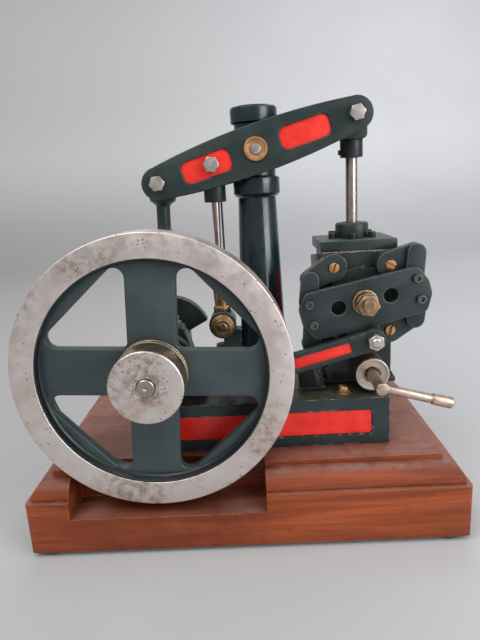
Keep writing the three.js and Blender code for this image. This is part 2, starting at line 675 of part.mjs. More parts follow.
function addValveGear(engine) {
  addWristPlate(engine);
  const tilt = wrist.tilt * degree;
  const armFront = wrist.front + wrist.thickness + link.thickness + 2 * gap;
  const bossFront = rodPlane - cylinder.depth / 2 - 3.6;
  const armBack = bossFront - gap;
  for (const [row, up] of [['upper', 1], ['lower', -1]]) {
    for (const [side, sign] of [['left', -1], ['right', 1]]) {
      const name = `${row}_${side}`;
      const angle = (sign < 0 ? leftArmAngle : rightArmAngle) * degree;
      const centre = { x: cylinder.x + sign * valve.x, z: wrist.z + up * valve.z };
      const end = { x: valve.arm * Math.cos(angle), z: valve.arm * Math.sin(angle) };
      const hub = barY(valve.hub, armFront, armBack, 0, 0, 28);
      const arm = slab(stadium(0, 0, end.x, end.z, valve.end), armFront, armBack);
      const bore = barY(valve.radius + gap, armFront - past, armBack + past);
      piece(engine, `valve_arm_${name}`, cut(join(hub, arm), bore), green, centre.x, 0, centre.z);
      const spindle = join(
        barY(valve.radius, armFront - 1.5, armBack, 0, 0, 20),
        barY(valve.plug, armBack - past, rodPlane + cylinder.depth / 2 - 4 - gap, 0, 0, 16),
      );
      piece(engine, `valve_spindle_${name}`, spindle, brass, centre.x, 0, centre.z);
      const pinX = sign * wrist.linkX;
      const pinZ = up * wrist.linkZ;
      const wristPin = {
        x: cylinder.x + pinX * Math.cos(tilt) - pinZ * Math.sin(tilt),
        z: wrist.z + pinX * Math.sin(tilt) + pinZ * Math.cos(tilt),
      };
      addLink(engine, `link_${name}`, wristPin, { x: centre.x + end.x, z: centre.z + end.z });
    }
  }
}

// The eccentric, its strap, and the bent rod to the drive pin.
function addEccentric(engine) {
  const tilt = wrist.tilt * degree;
  const drive = {
    x: cylinder.x + wrist.driveRadius * Math.sin(tilt),
    z: wrist.z - wrist.driveRadius * Math.cos(tilt),
  };
  const centre = { x: wheel.x + eccentric.throw, z: wheel.z };
  const { radius, strap, front, thickness } = eccentric;
  const back = front + thickness;

  // The sheave's bore is long enough for the whole throw, because the sheave stays in its
  // strap here while the shaft turns on its own. It also clears the drive pin's slight drop.
  const swing = 2 * wrist.driveRadius * Math.sin(tilt);
  const bore = stadium(-eccentric.throw, 0, -eccentric.throw + swing, 0, shaft.radius + 0.8);
  const sheave = cut(barY(radius, front, back, 0, 0, 32), slab(bore, front - past, back + past));
  piece(engine, 'eccentric_sheave', sheave, steel, centre.x, 0, centre.z);

  const rise = Math.tan(eccentricRod.slope * degree);
  const bend = { x: eccentricRod.bendX, z: drive.z - (drive.x - eccentricRod.bendX) * rise };
  const joinAt = (x) => centre.z + ((x - centre.x) / (bend.x - centre.x)) * (bend.z - centre.z);
  const tailX = eccentricRod.joinX;
  const tail = slab(stadium(0, 0, tailX - centre.x, joinAt(tailX) - centre.z, 5), front, back);
  const socket = barY(radius + gap, front - past, back + past, 0, 0, 40);
  const ring = cut(join(barY(strap, front, back, 0, 0, 40), tail), socket);
  const hook = block(tailX - centre.x - 1, tailX - centre.x + 9, front - past, back + past, -20, 20);
  piece(engine, 'eccentric_strap', cut(ring, hook), green, centre.x, 0, centre.z);

  const half = eccentricRod.halfDepth;
  const startX = tailX - 1 + gap;
  const bar = new THREE.Shape();
  const slant = half / Math.cos(eccentricRod.slope * degree);
  bar.moveTo(startX, joinAt(startX) + half - 0.8);
  bar.lineTo(startX, joinAt(startX) - half + 0.8);
  bar.lineTo(bend.x, bend.z - slant);
  bar.lineTo(drive.x, drive.z - slant);
  bar.lineTo(drive.x, drive.z + slant);
  bar.lineTo(bend.x, bend.z + slant);
  bar.closePath();
  const eye = barY(6.6, front, back, drive.x, drive.z, 28);
  const sunkStart = { x: bend.x + 2, z: bend.z + 2 * rise };
  const sunkEnd = { x: drive.x - 15, z: drive.z - 15 * rise };
  const sunkOutline = stadium(sunkStart.x, sunkStart.z, sunkEnd.x, sunkEnd.z, 3.1);
  const sunk = slab(sunkOutline, front - past, front + eccentricRod.recess, 3);
  const pinHole = barY(2.5 + gap, front - past, back + past, drive.x, drive.z, 16);
  const rod = cut(join(slab(bar, front, back), eye), sunk, pinHole);
  piece(engine, 'eccentric_rod', rod, green);
}

// ---------------------------------------------------------------- stop valve

function addStopValve(engine) {
  const { x, z, radius, front, spindle, nose, lever } = stopValve;
  const back = rodPlane - cylinder.depth / 2 - gap;
  const bore = spindle + gap;
  const body = turnY([
    [0, back], [radius, back], [radius, front + 0.8], [radius - 0.8, front], [radius - 2.2, front],
    [radius - 2.6, front + 2.2], [bore, front + 2.2], [bore, back - 5], [0, back - 5],
  ], 36);
  piece(engine, 'stop_valve_body', body, steel, x, 0, z);
  const group = turned(engine, x, z, -leverRest);
  // Spindle and lever are pinned together and turn as one.
  const grip = new THREE.LatheGeometry([
    [0, 0], [2.5, 0], [2.5, lever - 13], [2.1, lever - 12.6], [2.1, lever - 12.2], [3, lever - 11.6],
    [3.1, lever - 1.4], [2.2, lever], [0, lever],
  ].map(([r, h]) => new THREE.Vector2(r, h)), 16);
  grip.rotateZ(-Math.PI / 2);
  grip.translate(0, nose + 3.4, 0);
  const stem = barY(spindle, nose + 1, back - 5 - gap);
  const hub = barY(4.4, nose, nose + 7, 0, 0, 20);
  piece(group, 'stop_valve_lever', join(stem, hub, solid(grip)), brass);
}

// ---------------------------------------------------------------- feed pump

function addPump(engine) {
  const { x, chestZ, chestRadius, barrelTop, capRadius } = pump;
  const chestTop = chestZ + chestRadius;
  const barrelFoot = chestTop + gap;
  const height = barrelTop - barrelFoot;
  const bore = 3.2;
  const barrel = turnZ([
    [0, 0], [5.4, 0], [5.4, 2], [4.5, 2.6], [5.7, height - 2], [6.4, height - 2], [6.4, height],
    [bore, height], [bore, 3], [0, 3],
  ], 24);
  piece(engine, 'pump_barrel', barrel, brass, x, rodPlane, barrelFoot);

  // The valve chest is held off the column by a bracket with a hollowed end.
  const armFoot = 95;
  const armTop = 108;
  const columnRadius = column.baseRadius + gap;
  const arm = block(x, beam.x, rodPlane - 5, rodPlane + 5, armFoot, armTop);
  const chest = join(
    barY(chestRadius, rodPlane - 8, rodPlane + 8, x, chestZ, 28),
    barZ(5.6, chestZ, chestTop, x, rodPlane, 20),
    cut(arm, barZ(columnRadius, armFoot - past, armTop + past, beam.x, rodPlane, 48)),
    barZ(2.4, bedTop + gap, armFoot + past, x, rodPlane, 16),
    barZ(5.2, 89, armFoot + past, x, rodPlane, 12),
    barZ(4.4, bedTop + gap, bedTop + 3.3, x, rodPlane, 6),
  );
  piece(engine, 'pump_body', chest, green);

  const capBack = rodPlane - 8 - gap;
  const cap = turnY([
    [0, 0], [capRadius, 0], [capRadius, -2.4], [capRadius - 1, -2.8], [capRadius - 1, -4.2],
    [capRadius - 2.2, -4.6], [capRadius - 2.2, -6.2], [0, -6.2],
  ], 28);
  piece(engine, 'pump_valve_cap', cap, brass, x, capBack, chestZ);

  // The rod hangs from the beam's middle pin and tapers down into the barrel. The socket is
  // slotted across, because the pin swings through an arc while the rod runs straight.
  const hang = {
    x: beam.x - beam.pumpArm * Math.cos(beam.tilt * degree),
    z: beam.z - beam.pumpArm * Math.sin(beam.tilt * degree),
  };
  const arc = beam.pumpArm * (1 - Math.cos(beam.tilt * degree));
  const slot = slab(stadium(0, 0, -arc, 0, pin.radius + gap), -9, 9);
  const socket = cut(barZ(6.8, -21.6, 7), slot, barZ(2.8, -21.6 - past, -14));
  piece(engine, 'pump_rod_socket', socket, green, hang.x, rodPlane, hang.z);
  const foot = barrelFoot + 6;
  const top = hang.z - 14 - gap;
  const rod = turnZ([
    [0, foot], [1.7, foot], [1.7, hang.z - 50], [2.5, hang.z - 21.6], [2.5, top], [0, top],
  ], 20);
  piece(engine, 'pump_rod', rod, steel, hang.x, rodPlane, 0);
}

// ---------------------------------------------------------------- assembly

const engine = new THREE.Group();
addPlinth(engine);
addBed(engine);
addColumn(engine);
addBeam(engine);
addConnectingRod(engine);
addCrank(engine);
addFlywheel(engine);
addBearing(engine, 'front', bearing.front, bearing.frontRight);
addBearing(engine, 'rear', bearing.back, bearing.rearRight);
addCylinder(engine);
addPiston(engine);
addValveGear(engine);
addEccentric(engine);
addStopValve(engine);
addPump(engine);

const group = new THREE.Group();
engine.position.set(0, -(plinth.depth + shaft.front) / 2, plinth.footHeight + gap);
group.add(engine);

export default group;
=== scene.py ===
"""Looks of the model beam engine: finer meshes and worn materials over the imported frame.

Lengths are in millimetres in the frame's own axes (+X right, +Y back, +Z up), and places and sizes are
read from the frame's nodes. Stored meshes, the stage and the lights are in metres.
"""

import math

import bmesh
import bpy
from mathutils import Matrix, Vector


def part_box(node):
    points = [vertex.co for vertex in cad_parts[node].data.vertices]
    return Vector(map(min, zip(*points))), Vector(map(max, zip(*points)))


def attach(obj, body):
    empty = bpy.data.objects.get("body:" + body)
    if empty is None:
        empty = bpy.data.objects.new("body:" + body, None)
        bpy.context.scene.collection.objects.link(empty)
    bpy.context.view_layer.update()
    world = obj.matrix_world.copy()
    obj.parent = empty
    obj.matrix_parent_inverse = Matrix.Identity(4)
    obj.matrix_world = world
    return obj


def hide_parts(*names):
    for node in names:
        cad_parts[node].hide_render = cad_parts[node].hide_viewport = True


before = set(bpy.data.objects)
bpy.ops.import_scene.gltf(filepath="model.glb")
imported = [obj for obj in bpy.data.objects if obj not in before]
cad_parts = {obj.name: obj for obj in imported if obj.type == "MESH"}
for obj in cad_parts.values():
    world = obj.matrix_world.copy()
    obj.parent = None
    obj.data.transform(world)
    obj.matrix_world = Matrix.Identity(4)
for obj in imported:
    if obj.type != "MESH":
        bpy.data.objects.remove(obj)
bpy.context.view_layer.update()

MM = 0.001
TAU = 2 * math.pi
EDGE = 0.35  # rounding of a machined or painted edge
SHARP = math.radians(32)  # edges that turn by more than this stay sharp
CORNERS = ("upper_left", "upper_right", "lower_left", "lower_right")

# Sizes of the solids that their bounding boxes don't give.
PANEL_SIDE, PANEL_FOOT, PANEL_HEIGHT = 10.0, 6.0, 15.5  # sunk panels of the bed
BEAM_END, BEAM_WAIST = 9.5, 13.8  # half heights of the beam at its ends and middle
MIDDLE_PIN = -26.8  # the pump's pin, from the pivot
RIM_INSIDE, RIM_DEPTH = 62.2, 17  # the wheel's rim
WEB_FRONT, WEB_BACK = 5.7, 11.7  # the wheel's web, from the front of the rim
WINDOW_LEG = 13.5  # straight sides of the wheel's windows, from its two middle lines
WINDOW_FAR = 55.4 * math.sqrt(2) - WINDOW_LEG
WHEEL_TURN = 3.2  # clockwise from upright spokes, in degrees
WEB_RADIUS, WEIGHT_RADIUS = 7.4, 27  # crank web's ends, and its counterweight
SHAFT_HOLE = 5.05  # radius of the bores on the crankshaft
BLOCK_DEPTH = 44
SOLE_NUTS, LID_SCREWS = (19.4, 18.6), 13.6  # the nuts' distances along X and Y, and the screws' circle
EYE_SLOT, EYE_BORE = 2.26, 3.45  # the piston rod's eye, drawn out for the end pin's arc
WRIST_TILT = 11.3  # degrees
ARM_LENGTH, ARM_HUB, LINK_END = 15.6, 7.8, 5.3
SHEAVE, STRAP = 11.6, 15.2
SHEAVE_SLOT, SHEAVE_BORE = 8.62, 5.6  # the sheave's bore, drawn out so that the shaft can turn alone
ROD_RISE = 14.45  # slope of the eccentric rod's straight part, in degrees
WELL_SHADE = (-52, -52, 36)  # middle of the painted shade on the wood under the wheel


class Box:
    """A CAD node's bounding box at rest, in millimetres."""

    def __init__(self, node):
        low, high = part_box(node)
        self.x0, self.y0, self.z0 = (v / MM for v in low)
        self.x1, self.y1, self.z1 = (v / MM for v in high)
        self.x, self.y, self.z = ((a + b) / (2 * MM) for a, b in zip(low, high))
        self.width = self.x1 - self.x0


# ---- outlines and profiles


def arc(x, z, radius, start, end, steps=24):
    """Points along an arc, angles in degrees, anticlockwise when end is above start."""
    angles = [math.radians(start + (end - start) * i / steps) for i in range(steps + 1)]
    return [(x + radius * math.cos(a), z + radius * math.sin(a)) for a in angles]


def circle(x, z, radius, steps=64):
    return arc(x, z, radius, 0, 360 * (steps - 1) / steps, steps - 1)


def hexagon(radius, turn=0):
    return [(radius * math.cos(TAU * i / 6 + turn), radius * math.sin(TAU * i / 6 + turn)) for i in range(6)]


def stadium(x0, z0, x1, z1, radius):
    """A bar with round ends about two centres."""
    along = math.degrees(math.atan2(z1 - z0, x1 - x0))
    return arc(x1, z1, radius, along - 90, along + 90) + arc(x0, z0, radius, along + 90, along + 270)


def filleted(points, radii, closed=True, steps=6):
    """The polygon with each corner rounded by its own radius, or all by one."""
    radii = [radii] * len(points) if isinstance(radii, (int, float)) else radii
    rounded = []
    for i, (point, radius) in enumerate(zip(points, radii)):
        end = not closed and i in (0, len(points) - 1)
        if end or radius <= 0:
            rounded.append(tuple(point))
            continue
        here = Vector(point)
        before = Vector(points[i - 1]) - here
        after = Vector(points[(i + 1) % len(points)]) - here
        half = before.angle(after) / 2
        reach = min(radius / math.tan(half), before.length * 0.49, after.length * 0.49)
        bow = reach * math.tan(half)
        middle = here + (before.normalized() + after.normalized()).normalized() * (reach / math.cos(half))
        start, stop = here + before.normalized() * reach, here + after.normalized() * reach
        first = math.atan2(*(start - middle).yx)
        sweep = (math.atan2(*(stop - middle).yx) - first + math.pi) % TAU - math.pi
        for k in range(steps + 1):
            a = first + sweep * k / steps
            rounded.append((middle.x + bow * math.cos(a), middle.y + bow * math.sin(a)))
    return rounded


def rectangle(x0, x1, z0, z1, radius=0.0):
    return filleted([(x0, z0), (x1, z0), (x1, z1), (x0, z1)], radius)


def tube(radius, start, end, bore=0):
    """The profile of a plain turned bar or tube."""
    return [(bore, start), (radius, start), (radius, end), (bore, end)]


def area(points):
    return sum(a[0] * b[1] - b[0] * a[1] for a, b in zip(points, points[1:] + points[:1])) / 2


# ---- meshes


def linked(name, data):
    obj = bpy.data.objects.new(name, data)
    bpy.context.scene.collection.objects.link(obj)
    return obj


def smoothed(mesh, sharp=True):
    mesh.polygons.foreach_set("use_smooth", [True] * len(mesh.polygons))
    if sharp:
        mesh.set_sharp_from_angle(angle=SHARP)


def stored(name, bm, matrix=None):
    """An object from a mesh in millimetres, turned by matrix and then stored in metres."""
    mesh = bpy.data.meshes.new(name)
    bmesh.ops.recalc_face_normals(bm, faces=bm.faces)
    bm.to_mesh(mesh)
    bm.free()
    if matrix is not None:
        mesh.transform(matrix)
    mesh.transform(Matrix.Scale(MM, 4))
    smoothed(mesh)
    return linked(name, mesh)


def lathe(name, profile, x, y, z, axis="Y", segments=72, rounding=EDGE, matrix=None):
    """A profile of (radius, distance) turned about Y or Z through a point."""
    on_axis = [i for i, (r, _) in enumerate(profile) if r < 1e-6]
    radii = [0 if i in on_axis else rounding for i in range(len(profile))]
    bm = bmesh.new()
    rings = []
    for r, h in filleted(profile, radii, closed=not on_axis, steps=3):
        ring = []
        for k in range(segments if r > 1e-6 else 1):
            u, v = r * math.cos(TAU * k / segments), r * math.sin(TAU * k / segments)
            ring.append(bm.verts.new((x + u, y + h, z + v) if axis == "Y" else (x + u, y + v, z + h)))
        rings.append(ring)
    following = rings[1:] if on_axis else rings[1:] + rings[:1]
    for a, b in zip(rings, following):
        bridge(bm, a, b)
    return stored(name, bm, matrix)


def bridge(bm, a, b):
    """Faces between two rings of vertices, one of which may be a single point."""
    count = max(len(a), len(b))
    for k in range(count):
        corners = [a[k % len(a)], a[(k + 1) % len(a)], b[(k + 1) % len(b)], b[k % len(b)]]
        unique = list(dict.fromkeys(corners))
        if len(unique) > 2:
            bm.faces.new(unique)


def plate(name, outlines, y0, y1, holes=(), edge=EDGE, matrix=None):
    """Outlines in X and Z given thickness along Y, with rounded edges and through holes."""
    outlines = [outlines] if isinstance(outlines[0], tuple) else outlines
    curve = bpy.data.curves.new(name, "CURVE")
    curve.dimensions = "2D"
    curve.fill_mode = "BOTH"
    curve.bevel_mode = "ROUND"
    curve.bevel_depth = edge
    curve.bevel_resolution = 2
    curve.offset = -edge
    curve.extrude = max((y1 - y0) / 2 - edge, 0)
    for loop, outer in [(loop, True) for loop in outlines] + [(loop, False) for loop in holes]:
        points = loop if (area(loop) > 0) == outer else loop[::-1]
        spline = curve.splines.new("POLY")
        spline.points.add(len(points) - 1)
        for target, (x, z) in zip(spline.points, points):
            target.co = (x, z, 0, 1)
        spline.use_cyclic_u = True
    holder = linked(name + "_curve", curve)
    bpy.context.view_layer.update()
    mesh = bpy.data.meshes.new_from_object(holder.evaluated_get(bpy.context.evaluated_depsgraph_get()))
    bpy.data.objects.remove(holder)
    bpy.data.curves.remove(curve)
    mesh.transform(Matrix.Translation((0, (y0 + y1) / 2, 0)) @ Matrix.Rotation(math.pi / 2, 4, "X"))
    bm = bmesh.new()
    bm.from_mesh(mesh)
    bmesh.ops.remove_doubles(bm, verts=bm.verts, dist=1e-4)
    bpy.data.meshes.remove(mesh)
    return stored(name, bm, matrix)


def block(name, x0, x1, y0, y1, z0, z1, edge=EDGE):
    bm = bmesh.new()
    bmesh.ops.create_cube(bm, size=1)
    for v in bm.verts:
        x, y, z = (c + 0.5 for c in v.co)
        v.co = Vector((x0 + x * (x1 - x0), y0 + y * (y1 - y0), z0 + z * (z1 - z0)))
    bmesh.ops.bevel(bm, geom=bm.edges[:], offset=edge, segments=3, affect="EDGES", profile=0.5)
    return stored(name, bm)


def joined(name, *objects):
    """One object with the meshes of all of these, which it replaces."""
    bm = bmesh.new()
    for obj in objects:
        bm.from_mesh(obj.data)
    mesh = bpy.data.meshes.new(name)
    bm.to_mesh(mesh)
    bm.free()
    smoothed(mesh)
    for obj in objects:
        old = obj.data
        bpy.data.objects.remove(obj)
        bpy.data.meshes.remove(old)
    return linked(name, mesh)


def about_y(x, z, degrees):
    """A turn about Y through a point, anticlockwise seen from the front."""
    return Matrix.Translation((x, 0, z)) @ Matrix.Rotation(math.radians(-degrees), 4, "Y")


def dress(obj, body, material, *nodes, slot=None):
    """Paints a piece, hangs it on its body and hides the CAD nodes that it stands for."""
    obj.data.materials.clear()
    obj.data.materials.append(material)
    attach(obj, body)
    if nodes:
        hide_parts(*nodes)


# ---- material nodes


class Recipe:
    """Builds one material's nodes. Texture scales are in cycles per millimetre."""

    def __init__(self, name, slot, metallic=0.0, specular=0.5, coat=0.0):
        self.material = bpy.data.materials.new(name)
        self.material.use_nodes = True
        self.tree = self.material.node_tree
        self.shader = self.tree.nodes["Principled BSDF"]
        settings = {"Metallic": metallic, "Specular IOR Level": specular, "Coat Weight": coat,
                    "Coat Roughness": 0.12}
        for socket, value in settings.items():
            self.shader.inputs[socket].default_value = value
        metres = self.node("TexCoord").outputs["Object"]
        self.where = self.node("VectorMath", "SCALE", Vector=metres, Scale=1 / MM).outputs[0]

    def node(self, kind, operation=None, **sockets):
        n = self.tree.nodes.new("ShaderNode" + kind)
        if operation:
            n.operation = operation
        for name, value in sockets.items():
            self.feed(value, n.inputs[name])
        return n

    def feed(self, value, socket):
        if isinstance(value, (int, float)):
            socket.default_value = value
        elif isinstance(value, tuple):
            socket.default_value = (*value, 1) if socket.type == "RGBA" else value
        else:
            self.tree.links.new(value, socket)

    def vector(self, operation, a, b=None, out="Vector"):
        n = self.node("VectorMath", operation)
        self.feed(a, n.inputs[0])
        if b is not None:
            self.feed(b, n.inputs[1])
        return n.outputs[out]

    def part(self, vector, axis):
        return self.node("SeparateXYZ", Vector=vector).outputs[axis]

    def noise(self, scale, detail=3.0, rough=0.55, where=None, distortion=0.0):
        return self.node("TexNoise", Scale=scale, Detail=detail, Roughness=rough, Distortion=distortion,
                         Vector=where or self.where).outputs["Fac"]

    def voronoi(self, scale):
        return self.node("TexVoronoi", Scale=scale, Vector=self.where).outputs["Distance"]

    def stretched(self, along_x):
        """Coordinates drawn out along X, for streaks and grain."""
        return self.vector("MULTIPLY", self.where, (along_x, 1, 1))

    def polar(self, x, z):
        """Coordinates that change quickly with radius and slowly round an axis along Y."""
        flat = self.vector("MULTIPLY", self.vector("SUBTRACT", self.where, (x, 0, z)), (1, 0, 1))
        around = self.vector("NORMALIZE", flat)
        return self.node("CombineXYZ", X=self.vector("LENGTH", flat, out="Value"), Y=self.part(around, "X"),
                         Z=self.part(around, "Z")).outputs[0]

    def near(self, point, inside, outside):
        """1 within the first distance of a point, 0 beyond the second, in millimetres."""
        return self.span(self.vector("DISTANCE", self.where, point, "Value"), outside, inside)

    def math(self, operation, a, b, clamp=False):
        n = self.node("Math", operation)
        n.use_clamp = clamp
        self.feed(a, n.inputs[0])
        self.feed(b, n.inputs[1])
        return n.outputs[0]

    def times(self, a, b, clamp=False):
        return self.math("MULTIPLY", a, b, clamp)

    def span(self, value, low, high, to_low=0.0, to_high=1.0):
        n = self.node("MapRange")
        n.interpolation_type = "SMOOTHSTEP"
        for socket, v in zip(("Value", "From Min", "From Max", "To Min", "To Max"),
                             (value, low, high, to_low, to_high)):
            self.feed(v, n.inputs[socket])
        return n.outputs["Result"]

    def mix(self, factor, a, b):
        n = self.node("Mix")
        n.data_type = "RGBA"
        for socket, v in (("Factor", factor), ("A", a), ("B", b)):
            self.feed(v, n.inputs[socket])
        return n.outputs["Result"]

    def over(self, tone, mask, amount, color):
        """The tone with some of a colour laid over it where the mask says."""
        return self.mix(self.times(mask, amount), tone, color)

    def edge_wear(self, radius, patchiness, scale):
        """1 on worn outer edges, broken up into patches."""
        bevel = self.node("Bevel", Radius=radius * MM)
        bevel.samples = 6
        flat = self.node("NewGeometry").outputs["Normal"]
        dot = self.vector("DOT_PRODUCT", bevel.outputs["Normal"], flat, "Value")
        patch = self.span(self.noise(scale, 4), patchiness, patchiness + 0.12)
        return self.times(self.span(dot, 0.98, 0.89), patch, clamp=True)

    def occlusion_shade(self, reach=9.0):
        """1 deep in corners and behind other pieces, 0 in the open. Used as painted shade in colours, and to
        keep dust out of hollows.
        """
        shelter = self.node("AmbientOcclusion", Distance=reach * MM)
        shelter.samples = 4
        return self.span(shelter.outputs["AO"], 0.85, 0.35)

    def facing_up(self, low=0.6, high=0.95):
        return self.span(self.part(self.node("NewGeometry").outputs["Normal"], "Z"), low, high)

    def bump(self, *layers):
        """Layers of (height, strength, distance in millimetres), one over the other."""
        normal = None
        for height, strength, distance in layers:
            n = self.node("Bump", Strength=strength, Distance=distance * MM, Height=height)
            if normal is not None:
                self.feed(normal, n.inputs["Normal"])
            normal = n.outputs["Normal"]
        self.feed(normal, self.shader.inputs["Normal"])

    def done(self, color, roughness, metallic=None):
        self.feed(color, self.shader.inputs["Base Color"])
        self.feed(roughness, self.shader.inputs["Roughness"])
        if metallic is not None:
            self.feed(metallic, self.shader.inputs["Metallic"])
        return self.material


def scaled(color, *factors):
    """A colour times one factor, or one for each channel, up to full brightness."""
    return tuple(min(c * f, 1) for c, f in zip(color, factors if len(factors) > 1 else factors * 3))


def paint(name, color, dark, wear=0.5, dust=0.3, gloss=0.36, film=(0.15, 0.14, 0.125), coat=0.12,
          slot="green_paint"):
    """Brushed enamel: faint ripples, dust on top faces, painted shade in corners and behind other pieces,
    bare metal on worn edges.
    """
    r = Recipe(name, slot, specular=0.35, coat=coat)
    tone = r.mix(r.span(r.noise(0.035, 4), 0.35, 0.7), dark, color)
    dirt = r.times(r.facing_up(), r.span(r.noise(0.18, 5), 0.3, 0.75, 0.25, 1.0))
    tone = r.over(tone, dirt, dust, film)
    speck = r.times(r.span(r.voronoi(0.32), 0.05, 0.02), r.span(r.noise(0.09, 2), 0.55, 0.62))
    tone = r.over(tone, speck, 0.55, (0.30, 0.28, 0.26))
    # painted shade: the enamel is darkened in corners and behind other pieces
    tone = r.over(tone, r.occlusion_shade(), 0.7, scaled(dark, 0.35))
    bare = r.edge_wear(1.1, 1.0 - wear, 0.28)
    tone = r.over(tone, bare, 0.85, (0.42, 0.39, 0.36))
    rough = r.math("ADD", r.span(r.noise(0.12, 5), 0.3, 0.7, gloss - 0.08, gloss + 0.12), r.times(dirt, 0.3))
    r.bump((r.noise(0.9, 2), 0.10, 0.05), (r.noise(0.11, 4), 0.25, 0.12), (r.noise(4.0, 2), 0.10, 0.02))
    return r.done(tone, rough, r.times(bare, 0.6))


def red_paint():
    """Hand-laid red enamel, pooled a little in places."""
    r = Recipe("red_enamel", "green_paint", specular=0.35, coat=0.1)
    tone = r.mix(r.span(r.noise(0.11, 4), 0.3, 0.7), (0.70, 0.018, 0.012), (0.84, 0.034, 0.020))
    streak = r.noise(0.25, 5, where=r.stretched(0.15))
    tone = r.mix(r.span(streak, 0.55, 0.8, 0, 0.3), tone, (0.95, 0.10, 0.06))
    speck = r.span(r.voronoi(0.45), 0.07, 0.03)
    tone = r.over(tone, speck, r.span(r.noise(0.15), 0.56, 0.66), (0.16, 0.02, 0.02))
    r.bump((streak, 0.25, 0.15), (r.noise(2.0, 3), 0.08, 0.03))
    return r.done(tone, r.span(r.noise(0.3, 4), 0.3, 0.7, 0.28, 0.5))


def steel(name, base=(0.52, 0.47, 0.44), rust=0.45, rough=0.36, turned=None, mottling=0.08, hub=0):
    """Bare mild steel: machining marks, a brown bloom, rust in specks, and stains near a hub."""
    r = Recipe(name, "steel", metallic=1.0)
    if turned:
        round_axis = r.polar(*turned)
        marks = r.noise(2.2, 5, 0.7, where=round_axis)
    else:
        marks = r.noise(1.4, 4, 0.65, where=r.stretched(0.25))
    tone = r.mix(r.span(r.noise(mottling, 5, 0.6), 0.38, 0.70), base, scaled(base, 0.86, 0.76, 0.70))
    tone = r.mix(r.span(marks, 0.3, 0.75, 0, 0.35), tone, scaled(base, 1.22))
    pits = r.times(r.span(r.voronoi(0.36), 0.22, 0.10), r.span(r.noise(0.12, 3), 0.50, 0.58))
    freckles = r.times(r.span(r.voronoi(1.3), 0.22, 0.10), r.span(r.noise(0.09, 5), 0.50, 0.66))
    spots = r.times(r.math("MAXIMUM", pits, freckles), rust * 1.8, clamp=True)
    blot = r.times(r.span(r.noise(0.022, 2), 0.52, 0.66), r.span(r.noise(0.28, 5, 0.7), 0.40, 0.66))
    if hub:
        near = r.span(r.part(round_axis, "X"), hub, hub * 0.45)
        blot = r.math("MAXIMUM", blot, r.times(near, r.span(r.noise(0.35, 5, 0.7), 0.42, 0.62)))
    tone = r.over(tone, blot, rust, (0.24, 0.135, 0.10))
    tone = r.mix(spots, tone, (0.115, 0.058, 0.036))
    r.bump((marks, 0.16, 0.05), (spots, -0.35, 0.08))
    gloss = r.math("ADD", r.span(r.noise(0.2, 4), 0.3, 0.7, rough - 0.07, rough + 0.12), r.times(spots, 0.4))
    return r.done(tone, gloss, r.span(spots, 0.2, 0.9, 1.0, 0.15))


def brass(name, base=(0.56, 0.37, 0.19), tarnish=(0.20, 0.115, 0.06), amount=0.5, rough=0.33):
    """Brass or bronze gone brown in the hollows and bright where it is handled."""
    r = Recipe(name, "brass", metallic=1.0)
    cloud = r.span(r.noise(0.22, 5, 0.6), 0.34, 0.70, 0, amount * 1.5)
    tone = r.mix(r.times(cloud, 1.0, clamp=True), base, tarnish)
    tone = r.over(tone, r.edge_wear(0.9, 0.40, 0.5), 0.7, scaled(base, 1.35))
    speck = r.times(r.span(r.voronoi(0.9), 0.2, 0.1), r.span(r.noise(0.3, 3), 0.5, 0.62))
    tone = r.over(tone, speck, 0.6, (0.07, 0.05, 0.03))
    r.bump((r.noise(2.5, 4), 0.12, 0.04), (speck, -0.3, 0.05))
    return r.done(tone, r.span(r.noise(0.4, 4), 0.3, 0.7, rough - 0.05, rough + 0.16))


def wood(name, light, dark, dust):
    """Varnished mahogany: long grain along X, short pores, painted shade near the wheel and in hollows, dust
    on top.
    """
    r = Recipe(name, "wood", specular=0.3, coat=0.05)
    grain = r.noise(0.9, 6, 0.62, where=r.stretched(0.03), distortion=0.4)
    bands = r.noise(0.13, 4, 0.6, where=r.stretched(0.05), distortion=0.8)
    pores = r.noise(3.4, 3, 0.6, where=r.stretched(0.07))
    tone = r.mix(r.span(bands, 0.3, 0.72), dark, light)
    tone = r.mix(r.span(grain, 0.42, 0.72, 0, 0.4), tone, scaled(dark, 0.6))
    tone = r.mix(r.span(pores, 0.58, 0.72, 0, 0.3), tone, scaled(dark, 0.35))
    # painted shade: the wood is darkened around the well under the wheel, and less dust is laid there
    well_shade = r.times(r.near(WELL_SHADE, 45, 88), r.span(r.noise(0.07, 5), 0.25, 0.6, 0.45, 0.9))
    stain_and_shade = r.times(r.span(r.noise(0.05, 4), 0.56, 0.74), 0.45)
    # real stains joined with the painted shade of the well
    stain_and_shade = r.math("MAXIMUM", stain_and_shade, r.times(well_shade, 0.65))
    tone = r.mix(stain_and_shade, tone, scaled(dark, 0.5))
    # painted shade: the wood is darkened in corners and behind other pieces
    tone = r.over(tone, r.occlusion_shade(16), 0.6, scaled(dark, 0.3))
    tone = r.over(tone, r.edge_wear(1.2, 0.42, 0.12), 0.5, scaled(light, 1.5))
    open_air = r.math("SUBTRACT", 1.0, r.occlusion_shade(16))
    film = r.times(r.facing_up(0.7, 0.97), open_air)
    film = r.times(film, r.span(r.noise(0.14, 7, 0.7), 0.3, 0.72, 0.3, 1.0))
    film = r.times(film, r.math("SUBTRACT", 1.0, r.times(well_shade, 0.4)))
    tone = r.over(tone, film, dust, (0.30, 0.22, 0.19))
    crumbs = r.times(r.span(r.voronoi(0.55), 0.10, 0.04), r.span(r.noise(0.2, 2), 0.5, 0.6))
    tone = r.over(tone, crumbs, 0.6, (0.48, 0.42, 0.38))
    r.bump((grain, 0.15, 0.12), (pores, -0.2, 0.08), (r.noise(0.05, 3), 0.2, 0.3))
    return r.done(tone, r.math("ADD", r.span(grain, 0.3, 0.7, 0.34, 0.5), r.times(film, 0.3)))


